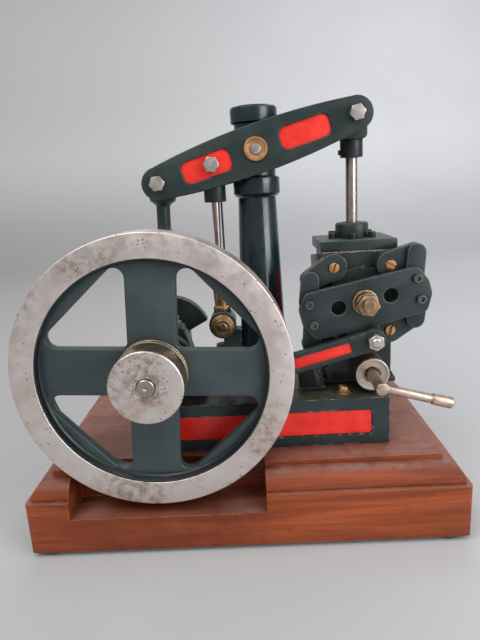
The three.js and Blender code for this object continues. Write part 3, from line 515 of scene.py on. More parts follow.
def rubber():
    r = Recipe("rubber_foot", "rubber", specular=0.25)
    tone = r.mix(r.span(r.noise(0.4, 4), 0.35, 0.7), (0.045, 0.048, 0.034), (0.10, 0.105, 0.075))
    tone = r.mix(r.edge_wear(0.8, 0.35, 0.5), tone, (0.15, 0.145, 0.12))
    r.bump((r.noise(3.0, 3), 0.3, 0.06))
    return r.done(tone, r.span(r.noise(0.8, 3), 0.3, 0.7, 0.7, 0.9))


def gasket():
    r = Recipe("paper_gasket", "green_paint", specular=0.2)
    tone = r.mix(r.span(r.noise(0.8, 4), 0.3, 0.7), (0.17, 0.12, 0.09), (0.42, 0.35, 0.28))
    r.bump((r.noise(4.0, 3), 0.3, 0.05))
    return r.done(tone, r.span(r.noise(1.0, 3), 0.3, 0.7, 0.75, 0.92))


def backdrop():
    """Pale paper with a painted pool of light that brightens it to the right, and the floor darker than the
    wall.
    """
    r = Recipe("pale_backdrop", None, specular=0.1)
    # painted light: wall and floor are brightened towards the right
    across = r.span(r.part(r.where, "X"), -500, 700)
    cloudy = r.span(r.noise(0.004, 3), 0.3, 0.7, 0, 0.15)
    wall = r.mix(cloudy, r.mix(across, (0.68, 0.68, 0.67), (0.93, 0.935, 0.96)), (0.66, 0.66, 0.67))
    floor = r.mix(cloudy, r.mix(across, (0.425, 0.42, 0.415), (0.60, 0.605, 0.62)), (0.44, 0.44, 0.445))
    tone = r.mix(r.facing_up(0.3, 0.98), wall, floor)
    r.bump((r.noise(0.8, 3), 0.06, 0.1))
    return r.done(tone, r.span(r.noise(0.02, 3), 0.3, 0.7, 0.82, 0.9))


GREEN = paint("green_enamel", (0.026, 0.041, 0.037), (0.015, 0.026, 0.025))
COLUMN_GREEN = paint("green_glossy", (0.007, 0.021, 0.022), (0.004, 0.012, 0.014), dust=0.2, gloss=0.24,
                     coat=0.4)
WHEEL_GREEN = paint("green_wheel", (0.044, 0.064, 0.068), (0.030, 0.046, 0.050), wear=0.66, gloss=0.42)
# A darker copy of the green for the wheel's inner rim and fillet: painted shade in the cove.
SHADE_GREEN = paint("green_painted_shade", (0.013, 0.022, 0.023), (0.007, 0.013, 0.014), wear=0.12, dust=0.25)
WORN_GREEN = paint("green_handled", (0.026, 0.039, 0.039), (0.015, 0.024, 0.026), wear=0.72)
BED_GREEN = paint("green_bed", (0.028, 0.044, 0.045), (0.018, 0.030, 0.032), dust=0.7,
                  film=(0.115, 0.088, 0.052))
SOOT = paint("sooty_black", (0.006, 0.007, 0.007), (0.003, 0.003, 0.003), wear=0.2, dust=0.15, gloss=0.6,
             coat=0.0)
BLACK_STEEL = paint("blackened_screw", (0.020, 0.022, 0.022), (0.012, 0.013, 0.013), wear=0.35, gloss=0.45,
                    slot="steel")
RED = red_paint()
STEEL = steel("bare_steel")
BROWN_STEEL = steel("brown_steel", base=(0.46, 0.36, 0.24), rust=0.6, rough=0.30)
DARK_SCREW = steel("dark_screw", base=(0.13, 0.125, 0.13), rust=0.5, rough=0.40)
PIN_STEEL = steel("pin_steel", base=(0.56, 0.52, 0.49), rust=0.3, rough=0.34)
SCREW = steel("screw_steel", base=(0.42, 0.39, 0.35), rust=0.55, rough=0.42)
ROD_STEEL = steel("rod_steel", base=(0.40, 0.345, 0.32), rust=0.25, rough=0.30)
BRASS = brass("aged_brass")
GOLD_BRASS = brass("golden_brass", base=(0.66, 0.36, 0.15), amount=0.4, rough=0.36)
BRONZE = brass("brown_bronze", base=(0.45, 0.31, 0.20), amount=0.6, rough=0.38)
BRIGHT_BRASS = brass("lever_brass", base=(0.64, 0.53, 0.44), tarnish=(0.33, 0.22, 0.15), amount=0.45,
                     rough=0.36)
WOOD = wood("mahogany", (0.37, 0.080, 0.022), (0.17, 0.032, 0.010), 0.55)
WOOD_MOULDING = wood("mahogany_moulding", (0.34, 0.072, 0.024), (0.16, 0.031, 0.011), 0.60)
RUBBER = rubber()
GASKET = gasket()

# ---- fasteners

FACING = {
    "front": Matrix.Identity(4),
    "back": Matrix.Rotation(math.pi, 4, "Z"),
    "up": Matrix.Rotation(-math.pi / 2, 4, "X"),
    "left": Matrix.Rotation(-math.pi / 2, 4, "Z"),
}


def place(x, y, z, facing="front", spin=0.0, matrix=None):
    """Where a fastener built at the origin, with its face towards -Y, goes."""
    put = Matrix.Translation((x, y, z)) @ FACING[facing] @ Matrix.Rotation(math.radians(spin), 4, "Y")
    return matrix @ put if matrix is not None else put


def turned_part(name, profile, rounding, segments, where):
    return lathe(name, profile, 0, 0, 0, rounding=rounding, segments=segments, matrix=where)


def hex_nut(name, radius, thickness, where, material, body, bore=0.0, stud=1.2):
    """A chamfered nut whose back is at y = 0 of its own frame, with a domed stud end."""
    front, rim = -thickness, radius * 0.84
    face = [(0, front - 0.15), (radius * 0.8, front - 0.15), (rim, front + 0.1), (rim, front + 0.3),
            (0, front + 0.3)]
    parts = [plate(name, hexagon(radius), front, 0, edge=radius * 0.07, matrix=where),
             turned_part(name + "_face", face, 0.05, 40, where)]
    if stud:
        tip, end = bore or radius * 0.5, front - stud
        dome = [(0, end), (tip * 0.72, end), (tip, end + tip * 0.22), (tip, 0), (0, 0)]
        parts.append(turned_part(name + "_stud", dome, 0.12, 36, where))
    dress(joined(name, *parts), body, material)


def cap_screw(name, radius, height, where, material, body):
    """A round head with a hexagon socket. Its underside is at y = 0 of its own frame."""
    top = plate(name, circle(0, 0, radius, 36), -height, -height * 0.4, holes=[hexagon(radius * 0.56, 0.3)],
                edge=radius * 0.08, matrix=where)
    low = turned_part(name + "_low", tube(radius * 0.995, -height * 0.42, 0), 0.08, 36, where)
    dress(joined(name, top, low), body, material)


def slotted_face(name, radius, where):
    """The end of a turned brass screw, split by a screwdriver slot."""
    slot = math.degrees(math.asin(0.24))
    cheeks = [arc(0, 0, radius, start + slot, start + 180 - slot, 24) for start in (0, 180)]
    face = plate(name, cheeks, -0.7, 0.9, edge=radius * 0.06, matrix=where)
    return joined(name, face, turned_part(name + "_core", tube(radius * 0.995, 0.85, 1.6), 0.05, 40, where))


def acorn_nut(name, x, y, z):
    where = place(x, y, z, "up", 15)
    skirt = plate(name, hexagon(4.1), -2.3, 0, edge=0.3, matrix=where)
    crown = [(0, -5.3), (1.5, -5.0), (2.8, -4.1), (3.4, -2.8), (3.4, -2.1), (0, -2.1)]
    dome = turned_part(name + "_dome", crown, 0.9, 40, where)
    washer = turned_part(name + "_washer", tube(4.8, -0.5, 0.05), 0.1, 40, where)
    dress(joined(name, skirt, dome, washer), "frame", BRASS)


# ---- plinth, bed and column


def carried(node, material, edge):
    """A CAD node that keeps its shape, with its edges rounded by modifiers."""
    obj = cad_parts[node]
    mesh = obj.data
    if "custom_normal" in mesh.attributes:
        mesh.attributes.remove(mesh.attributes["custom_normal"])
    smoothed(mesh, sharp=False)
    mesh.materials.clear()
    mesh.materials.append(material)
    obj.modifiers.new("weld", "WELD").merge_threshold = 1e-6
    bevel = obj.modifiers.new("edges", "BEVEL")
    bevel.width = edge * MM
    bevel.segments = 2
    bevel.limit_method = "ANGLE"
    bevel.angle_limit = SHARP
    obj.modifiers.new("normals", "WEIGHTED_NORMAL").keep_sharp = False


def plinth():
    carried("plinth_lower_board", WOOD, 0.9)
    carried("plinth_upper_board", WOOD_MOULDING, 0.6)
    for side in ("front_left", "front_right", "rear_left", "rear_right"):
        b = Box("foot_" + side)
        r = b.width / 2
        profile = [(0, b.z0), (r * 0.8, b.z0), (r, b.z0 + 1), (r * 0.96, b.z1), (0, b.z1)]
        pad = lathe("rubber_foot_" + side, profile, b.x, b.y, 0, "Z", 40, 0.5)
        dress(pad, "frame", RUBBER, "foot_" + side)


def bed():
    """The casting, a thin red floor in each sunk panel, and the two domed nuts at the right."""
    b = Box("bed_casting")
    carried("bed_casting", BED_GREEN, 0.7)
    inset = PANEL_SIDE + 0.5
    z0, z1 = b.z0 + PANEL_FOOT + 0.5, b.z0 + PANEL_FOOT + PANEL_HEIGHT - 0.5
    outline = rectangle(b.x0 + inset, b.x1 - inset, z0, z1, 1.6)
    for side, y in (("front", b.y0 + 1.05), ("back", b.y1 - 0.65)):
        dress(plate("bed_panel_" + side, outline, y - 0.4, y, edge=0.18), "frame", RED)
    for side, x in (("left", b.x0 + 0.65), ("right", b.x1 - 1.05)):
        dress(block("bed_panel_" + side, x, x + 0.4, b.y0 + inset, b.y1 - inset, z0, z1, 0.15), "frame", RED)
    nut_x = Box("cylinder_block").x0 + 12.5
    for row, y in (("front", b.y0 + 10.2), ("back", b.y1 - 10.2)):
        acorn_nut("bed_nut_right_" + row, nut_x, y, b.z1)


def column():
    b, h = Box("column_shaft"), Box("column_head")
    shaft = [(0, b.z0), (19, b.z0), (19, b.z0 + 4), (16.6, b.z0 + 5.2), (15.7, b.z0 + 7.4), (15.0, b.z0 + 11),
             (11.6, b.z1), (0, b.z1)]
    ring_top, neck_top = h.z0 + 11.2, h.z1 - 9.4
    head = [(0, h.z0), (12.3, h.z0), (14.2, h.z0 + 2), (14.2, ring_top - 0.2), (12.2, ring_top + 0.4),
            (12, ring_top + 1.2), (12, neck_top - 0.4), (14, neck_top + 0.4), (14, h.z1 - 1.1), (13, h.z1),
            (0, h.z1)]
    for name, profile, rounding, node in (("column_turned", shaft, 0.6, "column_shaft"),
                                          ("column_head_turned", head, 0.5, "column_head")):
        dress(lathe(name, profile, b.x, b.y, 0, "Z", 96, rounding), "frame", COLUMN_GREEN, node)


# ---- beam


def beam_matrix():
    """The beam's own frame, with X along it from the pivot, and the distance to each end pin."""
    left, right, pivot = Box("beam_pin_left"), Box("beam_pin_right"), Box("beam_pivot_pin")
    tilt = math.degrees(math.atan2(right.z - left.z, right.x - left.x))
    return about_y(pivot.x, pivot.z, tilt), math.hypot(right.x - left.x, right.z - left.z) / 2


def beam():
    matrix, arm = beam_matrix()
    rise = BEAM_WAIST - BEAM_END
    bulge = (arm * arm + rise * rise) / (2 * rise)
    half = math.degrees(math.asin(arm / bulge))
    low = BEAM_WAIST - bulge
    outline = (arc(arm, 0, BEAM_END, -90, 90, 32) + arc(0, low, bulge, 90 - half, 90 + half, 60)[1:-1]
               + arc(-arm, 0, BEAM_END, 90, 270, 32) + arc(0, -low, bulge, 270 - half, 270 + half, 60)[1:-1])
    panels = [rectangle(15.0, 44.4, -6.4, 6.2, 4.2), rectangle(-44.4, -15.0, -6.4, 6.2, 4.2)]
    front, back = Box("beam_front_plate"), Box("beam_rear_plate")
    for side, b, face, inner, towards in (("front", front, front.y0, front.y1, -1),
                                          ("rear", back, back.y1, back.y0, 1)):
        whole = plate(f"beam_{side}_casting", outline, b.y0, b.y1, holes=panels, edge=0.6, matrix=matrix)
        dress(whole, "beam", GREEN, f"beam_{side}_plate")
        levels = [face - 1.15 * towards, face - 1.75 * towards, inner + 0.5 * towards]
        for n, panel in zip(("right", "left"), panels):
            for layer, material, pair in (("panel", RED, levels[:2]), ("web", GREEN, levels[1:])):
                y0, y1 = sorted(pair)
                sheet = plate(f"beam_{side}_{layer}_{n}", panel, y0, y1, edge=0.02, matrix=matrix)
                dress(sheet, "beam", material)
    for name, s, spin in (("left", -arm, 10), ("middle", MIDDLE_PIN, 22), ("right", arm, 4)):
        barrel = tube(3, front.y0 - 0.5, back.y1 + 0.5)
        pin = lathe(f"pin_{name}_barrel", barrel, s, 0, 0, segments=40, rounding=0.1, matrix=matrix)
        dress(pin, "beam", ROD_STEEL, "beam_pin_" + name)
        where = place(s, front.y0, 0, "front", spin, matrix)
        hex_nut(f"pin_{name}_head", 4.7, 3.6, where, PIN_STEEL, "beam", stud=0)
        where = place(s, back.y1, 0, "back", spin, matrix)
        hex_nut(f"pin_{name}_nut", 4.6, 3.0, where, PIN_STEEL, "beam", bore=2.6)


def bushes():
    pin = Box("beam_pivot_pin")
    for side, towards in (("front", -1), ("rear", 1)):
        b = Box("beam_bush_" + side)
        inner, outer = (b.y1, b.y0) if towards < 0 else (b.y0, b.y1)
        shoulder = inner + 1.9 * towards
        tip = outer + 1.0 * towards
        profile = [(4.1, inner), (8.4, inner), (8.4, shoulder), (7.1, shoulder), (7.1, outer), (6.6, tip),
                   (5.2, tip), (4.9, outer + 0.4 * towards), (3.3, outer + 0.3 * towards), (3.3, outer),
                   (4.1, outer - 0.2 * towards)]
        bush = lathe(f"bush_{side}_turned", profile, pin.x, 0, pin.z, segments=64, rounding=0.2)
        dress(bush, "beam", GOLD_BRASS, "beam_bush_" + side)
    y0, y1 = pin.y0, pin.y1
    profile = [(0, y0 - 1.5), (3.0, y0 - 1.5), (3.0, y0 + 0.2), (3.8, y0 + 0.4), (3.8, y1 - 0.4),
               (3.0, y1 - 0.2), (3.0, y1 + 1.5), (0, y1 + 1.5)]
    barrel = lathe("pivot_pin_turned", profile, pin.x, 0, pin.z, rounding=0.15)
    dress(barrel, "frame", STEEL, "beam_pivot_pin")


# ---- connecting rod and crank


def connecting_rod():
    """Built hanging from the beam's pin, then leaned to meet the crank pin."""
    top, c = Box("beam_pin_left"), Box("crank_pin")
    length = math.hypot(top.x - c.x, top.z - c.z)
    lean = math.atan2(top.x - c.x, top.z - c.z)
    matrix = Matrix.Translation((top.x, top.y, top.z)) @ Matrix.Rotation(lean, 4, "Y")
    knuckle = [(0, -28), (4.2, -28), (4.2, -13.4), (5.0, -12.2), (7.6, -10.4), (8.2, -8.6), (8.2, 6.4),
               (7, 8), (0, 8)]
    eye = lathe("rod_eye", knuckle, 0, 0, 0, "Z", 64, 0.5, matrix)
    bar = lathe("rod_bar", tube(4.2, 6 - length, -26), 0, 0, 0, "Z", 48, 0.3, matrix)
    right = [(4.2, -27), (5.3, -31), (6.6, -36), (7.2, -42), (6.9, -47), (6.1, -52), (5.3, -60), (4.7, -70),
             (4.3, -82)]
    belly = filleted(right + [(-x, z) for x, z in reversed(right)], 1.6, steps=3)
    inlay = filleted([(-3.2, -31), (3.2, -31), (5.4, -37), (5.4, -46.9), (-5.4, -46.9), (-5.4, -37)],
                     [2, 2, 3, 3, 3, 3], steps=5)
    flat = plate("rod_belly", belly, -4.4, 4.4, holes=[inlay], edge=0.6, matrix=matrix)
    end = plate("rod_big_end", rectangle(-9, 9, -length - 8.8, -length + 8.8, 3), -5.7, 5.7,
                holes=[circle(0, -length, 5.3, 48)], edge=0.6, matrix=matrix)
    dress(joined("connecting_rod_forged", eye, bar, flat, end), "connecting_rod", GREEN, "connecting_rod")
    for side, y0, y1 in (("front", -3.6, -3.0), ("back", 3.0, 3.6)):
        dress(plate("rod_inlay_" + side, inlay, y0, y1, edge=0.05, matrix=matrix), "connecting_rod", RED)
    for side, across in (("left", -6.6), ("right", 6.6)):
        for row, up in (("low", -1), ("top", 1)):
            where = place(across, 0, -length + up * 8.8, "up", 0, matrix)
            hex_nut(f"big_end_nut_{side}_{row}", 2.2, 1.6 * up, where, SCREW, "connecting_rod", stud=0.6 * up)
    pin = lathe("crank_pin_turned", tube(c.width / 2, c.y0, c.y1), c.x, 0, c.z, rounding=0.3)
    dress(pin, "connecting_rod", STEEL, "crank_pin")


def crank():
    shaft, wheel, pin, rear = Box("crankshaft"), Box("flywheel"), Box("crank_pin"), Box("crank_web_rear")
    x, z = wheel.x, wheel.z
    throw = math.hypot(pin.x - x, pin.z - z)
    matrix = about_y(x, z, -math.degrees(math.atan2(x - pin.x, z - pin.z)))
    end = WEB_RADIUS
    weighted = (arc(0, 0, WEIGHT_RADIUS, 24, 156, 60) + [(-end, 1.0)] + arc(0, -throw, end, 180, 360, 32)
                + [(end, 1.0)])
    weighted = filleted(weighted, 0.25, steps=2)
    for side, outline in (("front", stadium(0, 0, 0, -throw, end)), ("rear", weighted)):
        y0 = Box("crank_web_" + side).y0
        web = plate(f"crank_web_{side}_forged", outline, y0, y0 + 8, edge=0.5, matrix=matrix)
        dress(web, "crankshaft", GREEN, "crank_web_" + side)
    r = shaft.width / 2
    journal = lathe("rear_journal", tube(r, rear.y0 + 6, rear.y1), x, 0, z, rounding=0.4)
    dress(journal, "crankshaft", STEEL)
    y0 = shaft.y0
    profile = [(0, y0 + 1.6), (1.1, y0 + 0.2), (1.6, y0), (r - 0.5, y0), (r, y0 + 0.5), (r, shaft.y1),
               (0, shaft.y1)]
    dress(lathe("shaft_turned", profile, x, 0, z, rounding=0.12), "crankshaft", ROD_STEEL, "crankshaft")


def flywheel():
    """Bare rim, a lining and fillet in a darker green that paints the shade of the cove, and the web with its
    four windows.
    """
    b = Box("flywheel")
    x, z, radius, y0 = b.x, b.z, b.width / 2, b.y0
    inner, y1 = RIM_INSIDE, y0 + RIM_DEPTH
    web0, web1 = y0 + WEB_FRONT, y0 + WEB_BACK
    bare = steel("wheel_steel", base=(0.71, 0.65, 0.625), rust=0.6, rough=0.42, turned=(x, z), mottling=0.045)

    def ring(name, profile, rounding, material, *nodes):
        dress(lathe(name, profile, x, 0, z, segments=180, rounding=rounding), "crankshaft", material, *nodes)

    ring("wheel_rim", tube(radius, y0, y1, inner + 0.5), 0.6, bare, "flywheel")
    # painted shade: the lining and the fillet below take the darker copy of the green
    lining = [(inner - 0.2, y0 + 0.5), (inner + 0.7, y0 + 0.15), (inner + 0.7, y1 - 0.15),
              (inner - 0.2, y1 - 0.5)]
    ring("wheel_rim_inside", lining, 0.2, SHADE_GREEN)
    leg, far = WINDOW_LEG, WINDOW_FAR
    corner = filleted([(leg, leg), (far, leg), (leg, far)], [3.5, 5.5, 5.5], steps=10)
    windows = []
    for quarter in range(4):
        turn = math.radians(90 * quarter - WHEEL_TURN)
        c, s = math.cos(turn), math.sin(turn)
        windows.append([(c * px - s * pz, s * px + c * pz) for px, pz in corner])
    web = plate("wheel_web", circle(0, 0, inner + 3, 128), web0, web1, holes=windows, edge=1.1,
                matrix=Matrix.Translation((x, 0, z)))
    hub = [(SHAFT_HOLE, y0 + 7), (14, y0 + 7), (13.2, b.y1), (SHAFT_HOLE, b.y1)]
    boss = lathe("wheel_boss", hub, x, 0, z, rounding=0.8)
    dress(joined("wheel_casting", web, boss), "crankshaft", WHEEL_GREEN)
    fillet = [(inner + 0.3, web0 - 1.5), (inner + 0.3, web1 + 1.5), (inner - 1.2, web1),
              (inner - 1.6, web1 - 0.2), (inner - 1.6, web0 + 0.2), (inner - 1.2, web0)]
    ring("wheel_fillet", fillet, 0.6, SHADE_GREEN)


def pulley():
    """A bare face in front of a brown barrel with two grooves."""
    b = Box("belt_pulley")
    x, z, r = b.x, b.z, b.width / 2
    bare = steel("pulley_steel", base=(0.70, 0.645, 0.61), rust=0.7, rough=0.36, turned=(x, z), mottling=0.07,
                 hub=15)
    split = b.y0 + 1.3
    face = [(SHAFT_HOLE, b.y0 + 0.5), (6.3, b.y0 + 0.5), (6.5, b.y0), (r - 0.5, b.y0), (r, b.y0 + 0.5),
            (r, split), (SHAFT_HOLE, split)]
    barrel = [(SHAFT_HOLE, split), (r, split)]
    for groove in (b.y1 - 7.4, b.y1 - 4):
        barrel += [(r, groove), (r - 0.8, groove + 0.2), (r - 0.8, groove + 1.6), (r, groove + 1.8)]
    barrel += [(r, b.y1), (SHAFT_HOLE, b.y1)]
    for name, profile, material, nodes in (("pulley_face", face, bare, ["belt_pulley"]),
                                           ("pulley_barrel", barrel, BROWN_STEEL, [])):
        dress(lathe(name, profile, x, 0, z, segments=128, rounding=0.15), "crankshaft", material, *nodes)


def bearings():
    x = Box("flywheel").x
    for side, right in (("front", 9.4), ("rear", 7.4)):
        carried("bearing_pedestal_" + side, GREEN, 0.5)
        carried("bearing_cap_" + side, GREEN, 0.5)
        b = Box("bearing_cap_" + side)
        for name, offset in (("left", -7.4), ("right", right)):
            where = place(x + offset, b.y, b.z1, "up", 12)
            hex_nut(f"bearing_nut_{side}_{name}", 3.1, 2.8, where, SCREW, "frame", bore=1.7, stud=3.2)


# ---- cylinder, piston and gland


def block_faces():
    """Front and back of the cylinder block, which the cover overhangs at the front."""
    front = Box("cylinder_top_cover").y0 + 0.6
    return front, front + BLOCK_DEPTH


def exhaust(sole, plate_left):
    """The leaning box on the sole plate's left, and the strut down its right edge."""
    z0, z1, lean, back = sole.z0 + 2.5, sole.z1, 2.0, sole.y1 - 39
    left, right = sole.x0 + lean, sole.x0 + lean + 9.4
    flange = block("exhaust_flange", left, plate_left + 0.6, sole.y0 + 1, back, sole.z0, sole.z0 + 2.2, 0.4)
    dress(flange, "frame", BED_GREEN)
    sides = [(left, z0), (right, z0), (right - 2.6, z1), (left - lean, z1)]
    dress(plate("exhaust_box", sides, sole.y0 + 0.4, back, edge=0.4), "frame", SOOT)
    strut = [(right - 0.2, z0), (right + 2.3, z0), (right - 0.4, z1), (right - 2.8, z1)]
    dress(plate("exhaust_strut", strut, sole.y0 + 0.1, sole.y0 + 9, edge=0.4), "frame", GREEN)


def cylinder():
    b, cover, sole = Box("cylinder_block"), Box("cylinder_top_cover"), Box("cylinder_sole_plate")
    gland = Box("piston_gland")
    x, y = gland.x, gland.y
    block_front, block_back = block_faces()
    sole_top = sole.z0 + 3
    carried("cylinder_block", GREEN, 0.45)
    lid = block("cylinder_lid", cover.x0, cover.x1, cover.y0, cover.y1, cover.z0 + 0.25, cover.z1, 0.55)
    dress(lid, "frame", GREEN, "cylinder_top_cover")
    packing = block("lid_gasket", cover.x0 + 0.9, cover.x1 - 0.9, cover.y0 + 0.6, cover.y1 - 0.6,
                    b.z1 - 0.05, cover.z0 + 0.35, 0.12)
    dress(packing, "frame", GASKET)
    foot = block("cylinder_foot", cover.x0, cover.x1, block_front, block_back, sole.z0, sole_top, 0.5)
    dress(foot, "frame", GREEN, "cylinder_sole_plate")
    exhaust(sole, cover.x0)
    panel = block("cylinder_side_panel", b.x0 + 0.3, b.x0 + 0.95, block_front + 9.5, block_back - 9.5,
                  sole_top + 11, b.z1 - 9.5, 0.2)
    dress(panel, "frame", RED)
    for i, (sx, sy) in enumerate(((-1, -1), (1, -1), (1, 1), (-1, 1))):
        where = place(x + sx * SOLE_NUTS[0], y + sy * SOLE_NUTS[1], sole_top, "up", 30 * i)
        hex_nut(f"sole_nut_{i + 1}", 2.3, 2.0, where, BLACK_STEEL, "frame", stud=1.4)
    profile = [(3.8, gland.z0 - 0.2), (10.15, gland.z0 - 0.2), (10.15, gland.z1 - 1.1), (9.2, gland.z1),
               (6.4, gland.z1), (5.6, gland.z1 - 0.7), (3.8, gland.z1 - 0.9)]
    dress(lathe("gland_turned", profile, x, y, 0, "Z", 96, 0.35), "frame", GREEN, "piston_gland")
    for i, angle in enumerate((198, 262, 322, 30, 92, 145)):
        a = math.radians(angle)
        where = place(x + LID_SCREWS * math.cos(a), y + LID_SCREWS * math.sin(a), cover.z1, "up", 17 * i)
        cap_screw(f"lid_screw_{i + 1}", 2.25, 3.4, where, BLACK_STEEL, "frame")


def piston_rod():
    """Rod, piston, round socket and slotted eye. The slot takes up the end pin's arc."""
    rod, end, piston, pin = Box("piston_rod"), Box("rod_end"), Box("piston"), Box("beam_pin_right")
    x, y, r = rod.x, rod.y, rod.width / 2
    shank = lathe("piston_rod_ground", tube(r, rod.z0, rod.z1), x, y, 0, "Z", 64, 0.3)
    dress(shank, "piston_rod", ROD_STEEL, "piston_rod")
    head = lathe("piston_turned", tube(10.7, piston.z0, piston.z1, r + 0.3), x, y, 0, "Z", 64, 0.4)
    dress(head, "piston_rod", BRASS, "piston")
    socket = lathe("rod_socket", tube(6.75, end.z0, end.z0 + 10.9, r + 0.2), x, y, 0, "Z", 72, 0.5)
    dress(socket, "piston_rod", BLACK_STEEL, "rod_end", slot="green_paint")
    slot = stadium(pin.x, pin.z, pin.x + EYE_SLOT, pin.z, EYE_BORE)
    outline = rectangle(end.x0 + 0.05, end.x1 - 0.05, end.z0 + 10.2, end.z1, 2.6)
    dress(plate("rod_eye_block", outline, end.y0, end.y1, holes=[slot], edge=0.6), "piston_rod", GREEN)
    where = place(x - 6.5, y, end.z0 + 3.2, "left")
    cap_screw("socket_grub_screw", 1.5, 1.4, where, BLACK_STEEL, "piston_rod")


# ---- valve gear


def wrist_plate():
    b, stud, drive = Box("wrist_plate"), Box("wrist_stud"), Box("drive_pin")
    matrix = about_y(stud.x, stud.z, WRIST_TILT)
    corners = [(-32.4, -15.4), (-5.2, -15.4), (-5.2, -19), (5.2, -19), (5.2, -15.4), (33.6, -14.4),
               (38.2, -4.5), (37.6, 3.5), (33.2, 12.8), (-32.6, 12.8), (-37.8, 4), (-37.4, -6)]
    body = filleted(corners, [4, 3, 0, 0, 3, 5, 6, 7, 5, 5, 6, 6])
    lobe = body.index((-5.2, -19))
    outline = body[:lobe] + [(-5.4, -19)] + arc(0, -22, 5.4, 180, 360) + [(5.4, -19)] + body[lobe + 2:]
    holes = [circle(-15.2, 0, 4.2, 48), circle(15.2, 0, 4.2, 48)]
    whole = plate("wrist_plate_filed", outline, b.y0, b.y1, holes=holes, edge=0.45, matrix=matrix)
    dress(whole, "wrist_plate", WORN_GREEN, "wrist_plate")
    for side, across in (("left", -1), ("right", 1)):
        for row, up in (("lower", -1), ("upper", 1)):
            where = place(across * 31.3, b.y0, up * 6.2, "front", 20 * across + 11 * up, matrix)
            cap_screw(f"wrist_screw_{row}_{side}", 2.6, 2.2, where, DARK_SCREW, "wrist_plate")
    stud_r, washer_back = 3.5, b.y0 - 0.3
    nut_back = stud.y0 + 6.4
    barrel = lathe("wrist_stud_turned", tube(stud_r, stud.y0, stud.y1), stud.x, 0, stud.z, rounding=0.4)
    dress(barrel, "frame", BRONZE, "wrist_stud")
    collar = [(stud_r, nut_back), (6.4, nut_back), (6.4, washer_back - 1.2), (7.3, washer_back - 1.1),
              (7.3, washer_back), (stud_r, washer_back)]
    dress(lathe("wrist_collar", collar, stud.x, 0, stud.z, rounding=0.3), "frame", BRONZE)
    where = place(stud.x, nut_back, stud.z, "front", 8)
    hex_nut("wrist_nut", 6.6, 3.9, where, BRONZE, "frame", bore=3.6, stud=2.4)
    y0 = drive.y0
    profile = [(0, y0 - 0.6), (1.6, y0 - 0.6), (2.5, y0), (2.5, b.y1), (0, b.y1)]
    barrel = lathe("drive_pin_turned", profile, drive.x, 0, drive.z, rounding=0.2, segments=40)
    dress(barrel, "wrist_plate", SCREW, "drive_pin")
    where = place(drive.x, Box("eccentric_rod").y0 - 0.3, drive.z, "front", 25)
    hex_nut("drive_pin_nut", 4.9, 4.4, where, PIN_STEEL, "wrist_plate", bore=2.9, stud=1.5)


def valve(name, arm_angle, slot_angle):
    """One arm and its spindle. Gives the point that the arm's link pulls."""
    arm, spindle = Box("valve_arm_" + name), Box("valve_spindle_" + name)
    x, z = spindle.x, spindle.z
    a = math.radians(arm_angle)
    tip = (x + ARM_LENGTH * math.cos(a), z + ARM_LENGTH * math.sin(a))
    spread = math.degrees(math.acos((ARM_HUB - LINK_END) / ARM_LENGTH))
    outline = (arc(x, z, ARM_HUB, arm_angle + spread, arm_angle + 360 - spread, 48)
               + arc(*tip, LINK_END, arm_angle - spread, arm_angle + spread, 32))
    bore = circle(x, z, 3.0, 48)
    lever = plate(f"valve_arm_{name}_filed", outline, arm.y0, arm.y1, holes=[bore], edge=0.45)
    dress(lever, "valve_" + name, WORN_GREEN, "valve_arm_" + name)
    face = slotted_face(f"valve_spindle_{name}_end", 2.9, place(x, arm.y0 - 0.6, z, "front", -slot_angle))
    stem = [(0, arm.y0 + 0.9), (2.88, arm.y0 + 0.9), (2.88, arm.y1), (2.2, arm.y1 + 0.2), (2.2, spindle.y1),
            (0, spindle.y1)]
    rod = lathe(f"valve_spindle_{name}_rod", stem, x, 0, z, rounding=0.1)
    whole = joined(f"valve_spindle_{name}_turned", face, rod)
    dress(whole, "valve_" + name, GOLD_BRASS, "valve_spindle_" + name)
    return tip


def link(name, tip):
    """A bar from the arm's tip to the pin behind the wrist plate's corner."""
    b = Box("link_" + name)
    r = LINK_END
    pin_x = b.x0 + r if tip[0] > b.x else b.x1 - r
    pin_z = b.z0 + r if name.startswith("upper") else b.z1 - r
    y0 = b.y1 - 3.0
    bar = plate(f"link_{name}_filed", stadium(pin_x, pin_z, *tip, r), y0, b.y1, edge=0.4)
    barrel = tube(1.9, b.y0 + 1.6, y0 + 1)
    pin = lathe(f"link_{name}_pin", barrel, pin_x, 0, pin_z, rounding=0.05, segments=32)
    dress(joined(f"link_{name}_whole", bar, pin), "link_" + name, WORN_GREEN, "link_" + name)


def valve_gear():
    """Wrist plate, the turned rings where the spindles leave the block, arms and links."""
    wrist_plate()
    front, _ = block_faces()
    for name in CORNERS:
        s = Box("valve_spindle_" + name)
        profile = [(3.4, front - 3.4), (6.9, front - 3.4), (7.5, front - 2.6), (7.5, front + 0.4),
                   (3.4, front + 0.4)]
        dress(lathe("bonnet_" + name, profile, s.x, 0, s.z, rounding=0.3), "frame", GREEN)
    for name, slot_angle in zip(CORNERS, (70, -25, 20, 75)):
        link(name, valve(name, 205 if name.endswith("left") else 25, slot_angle))


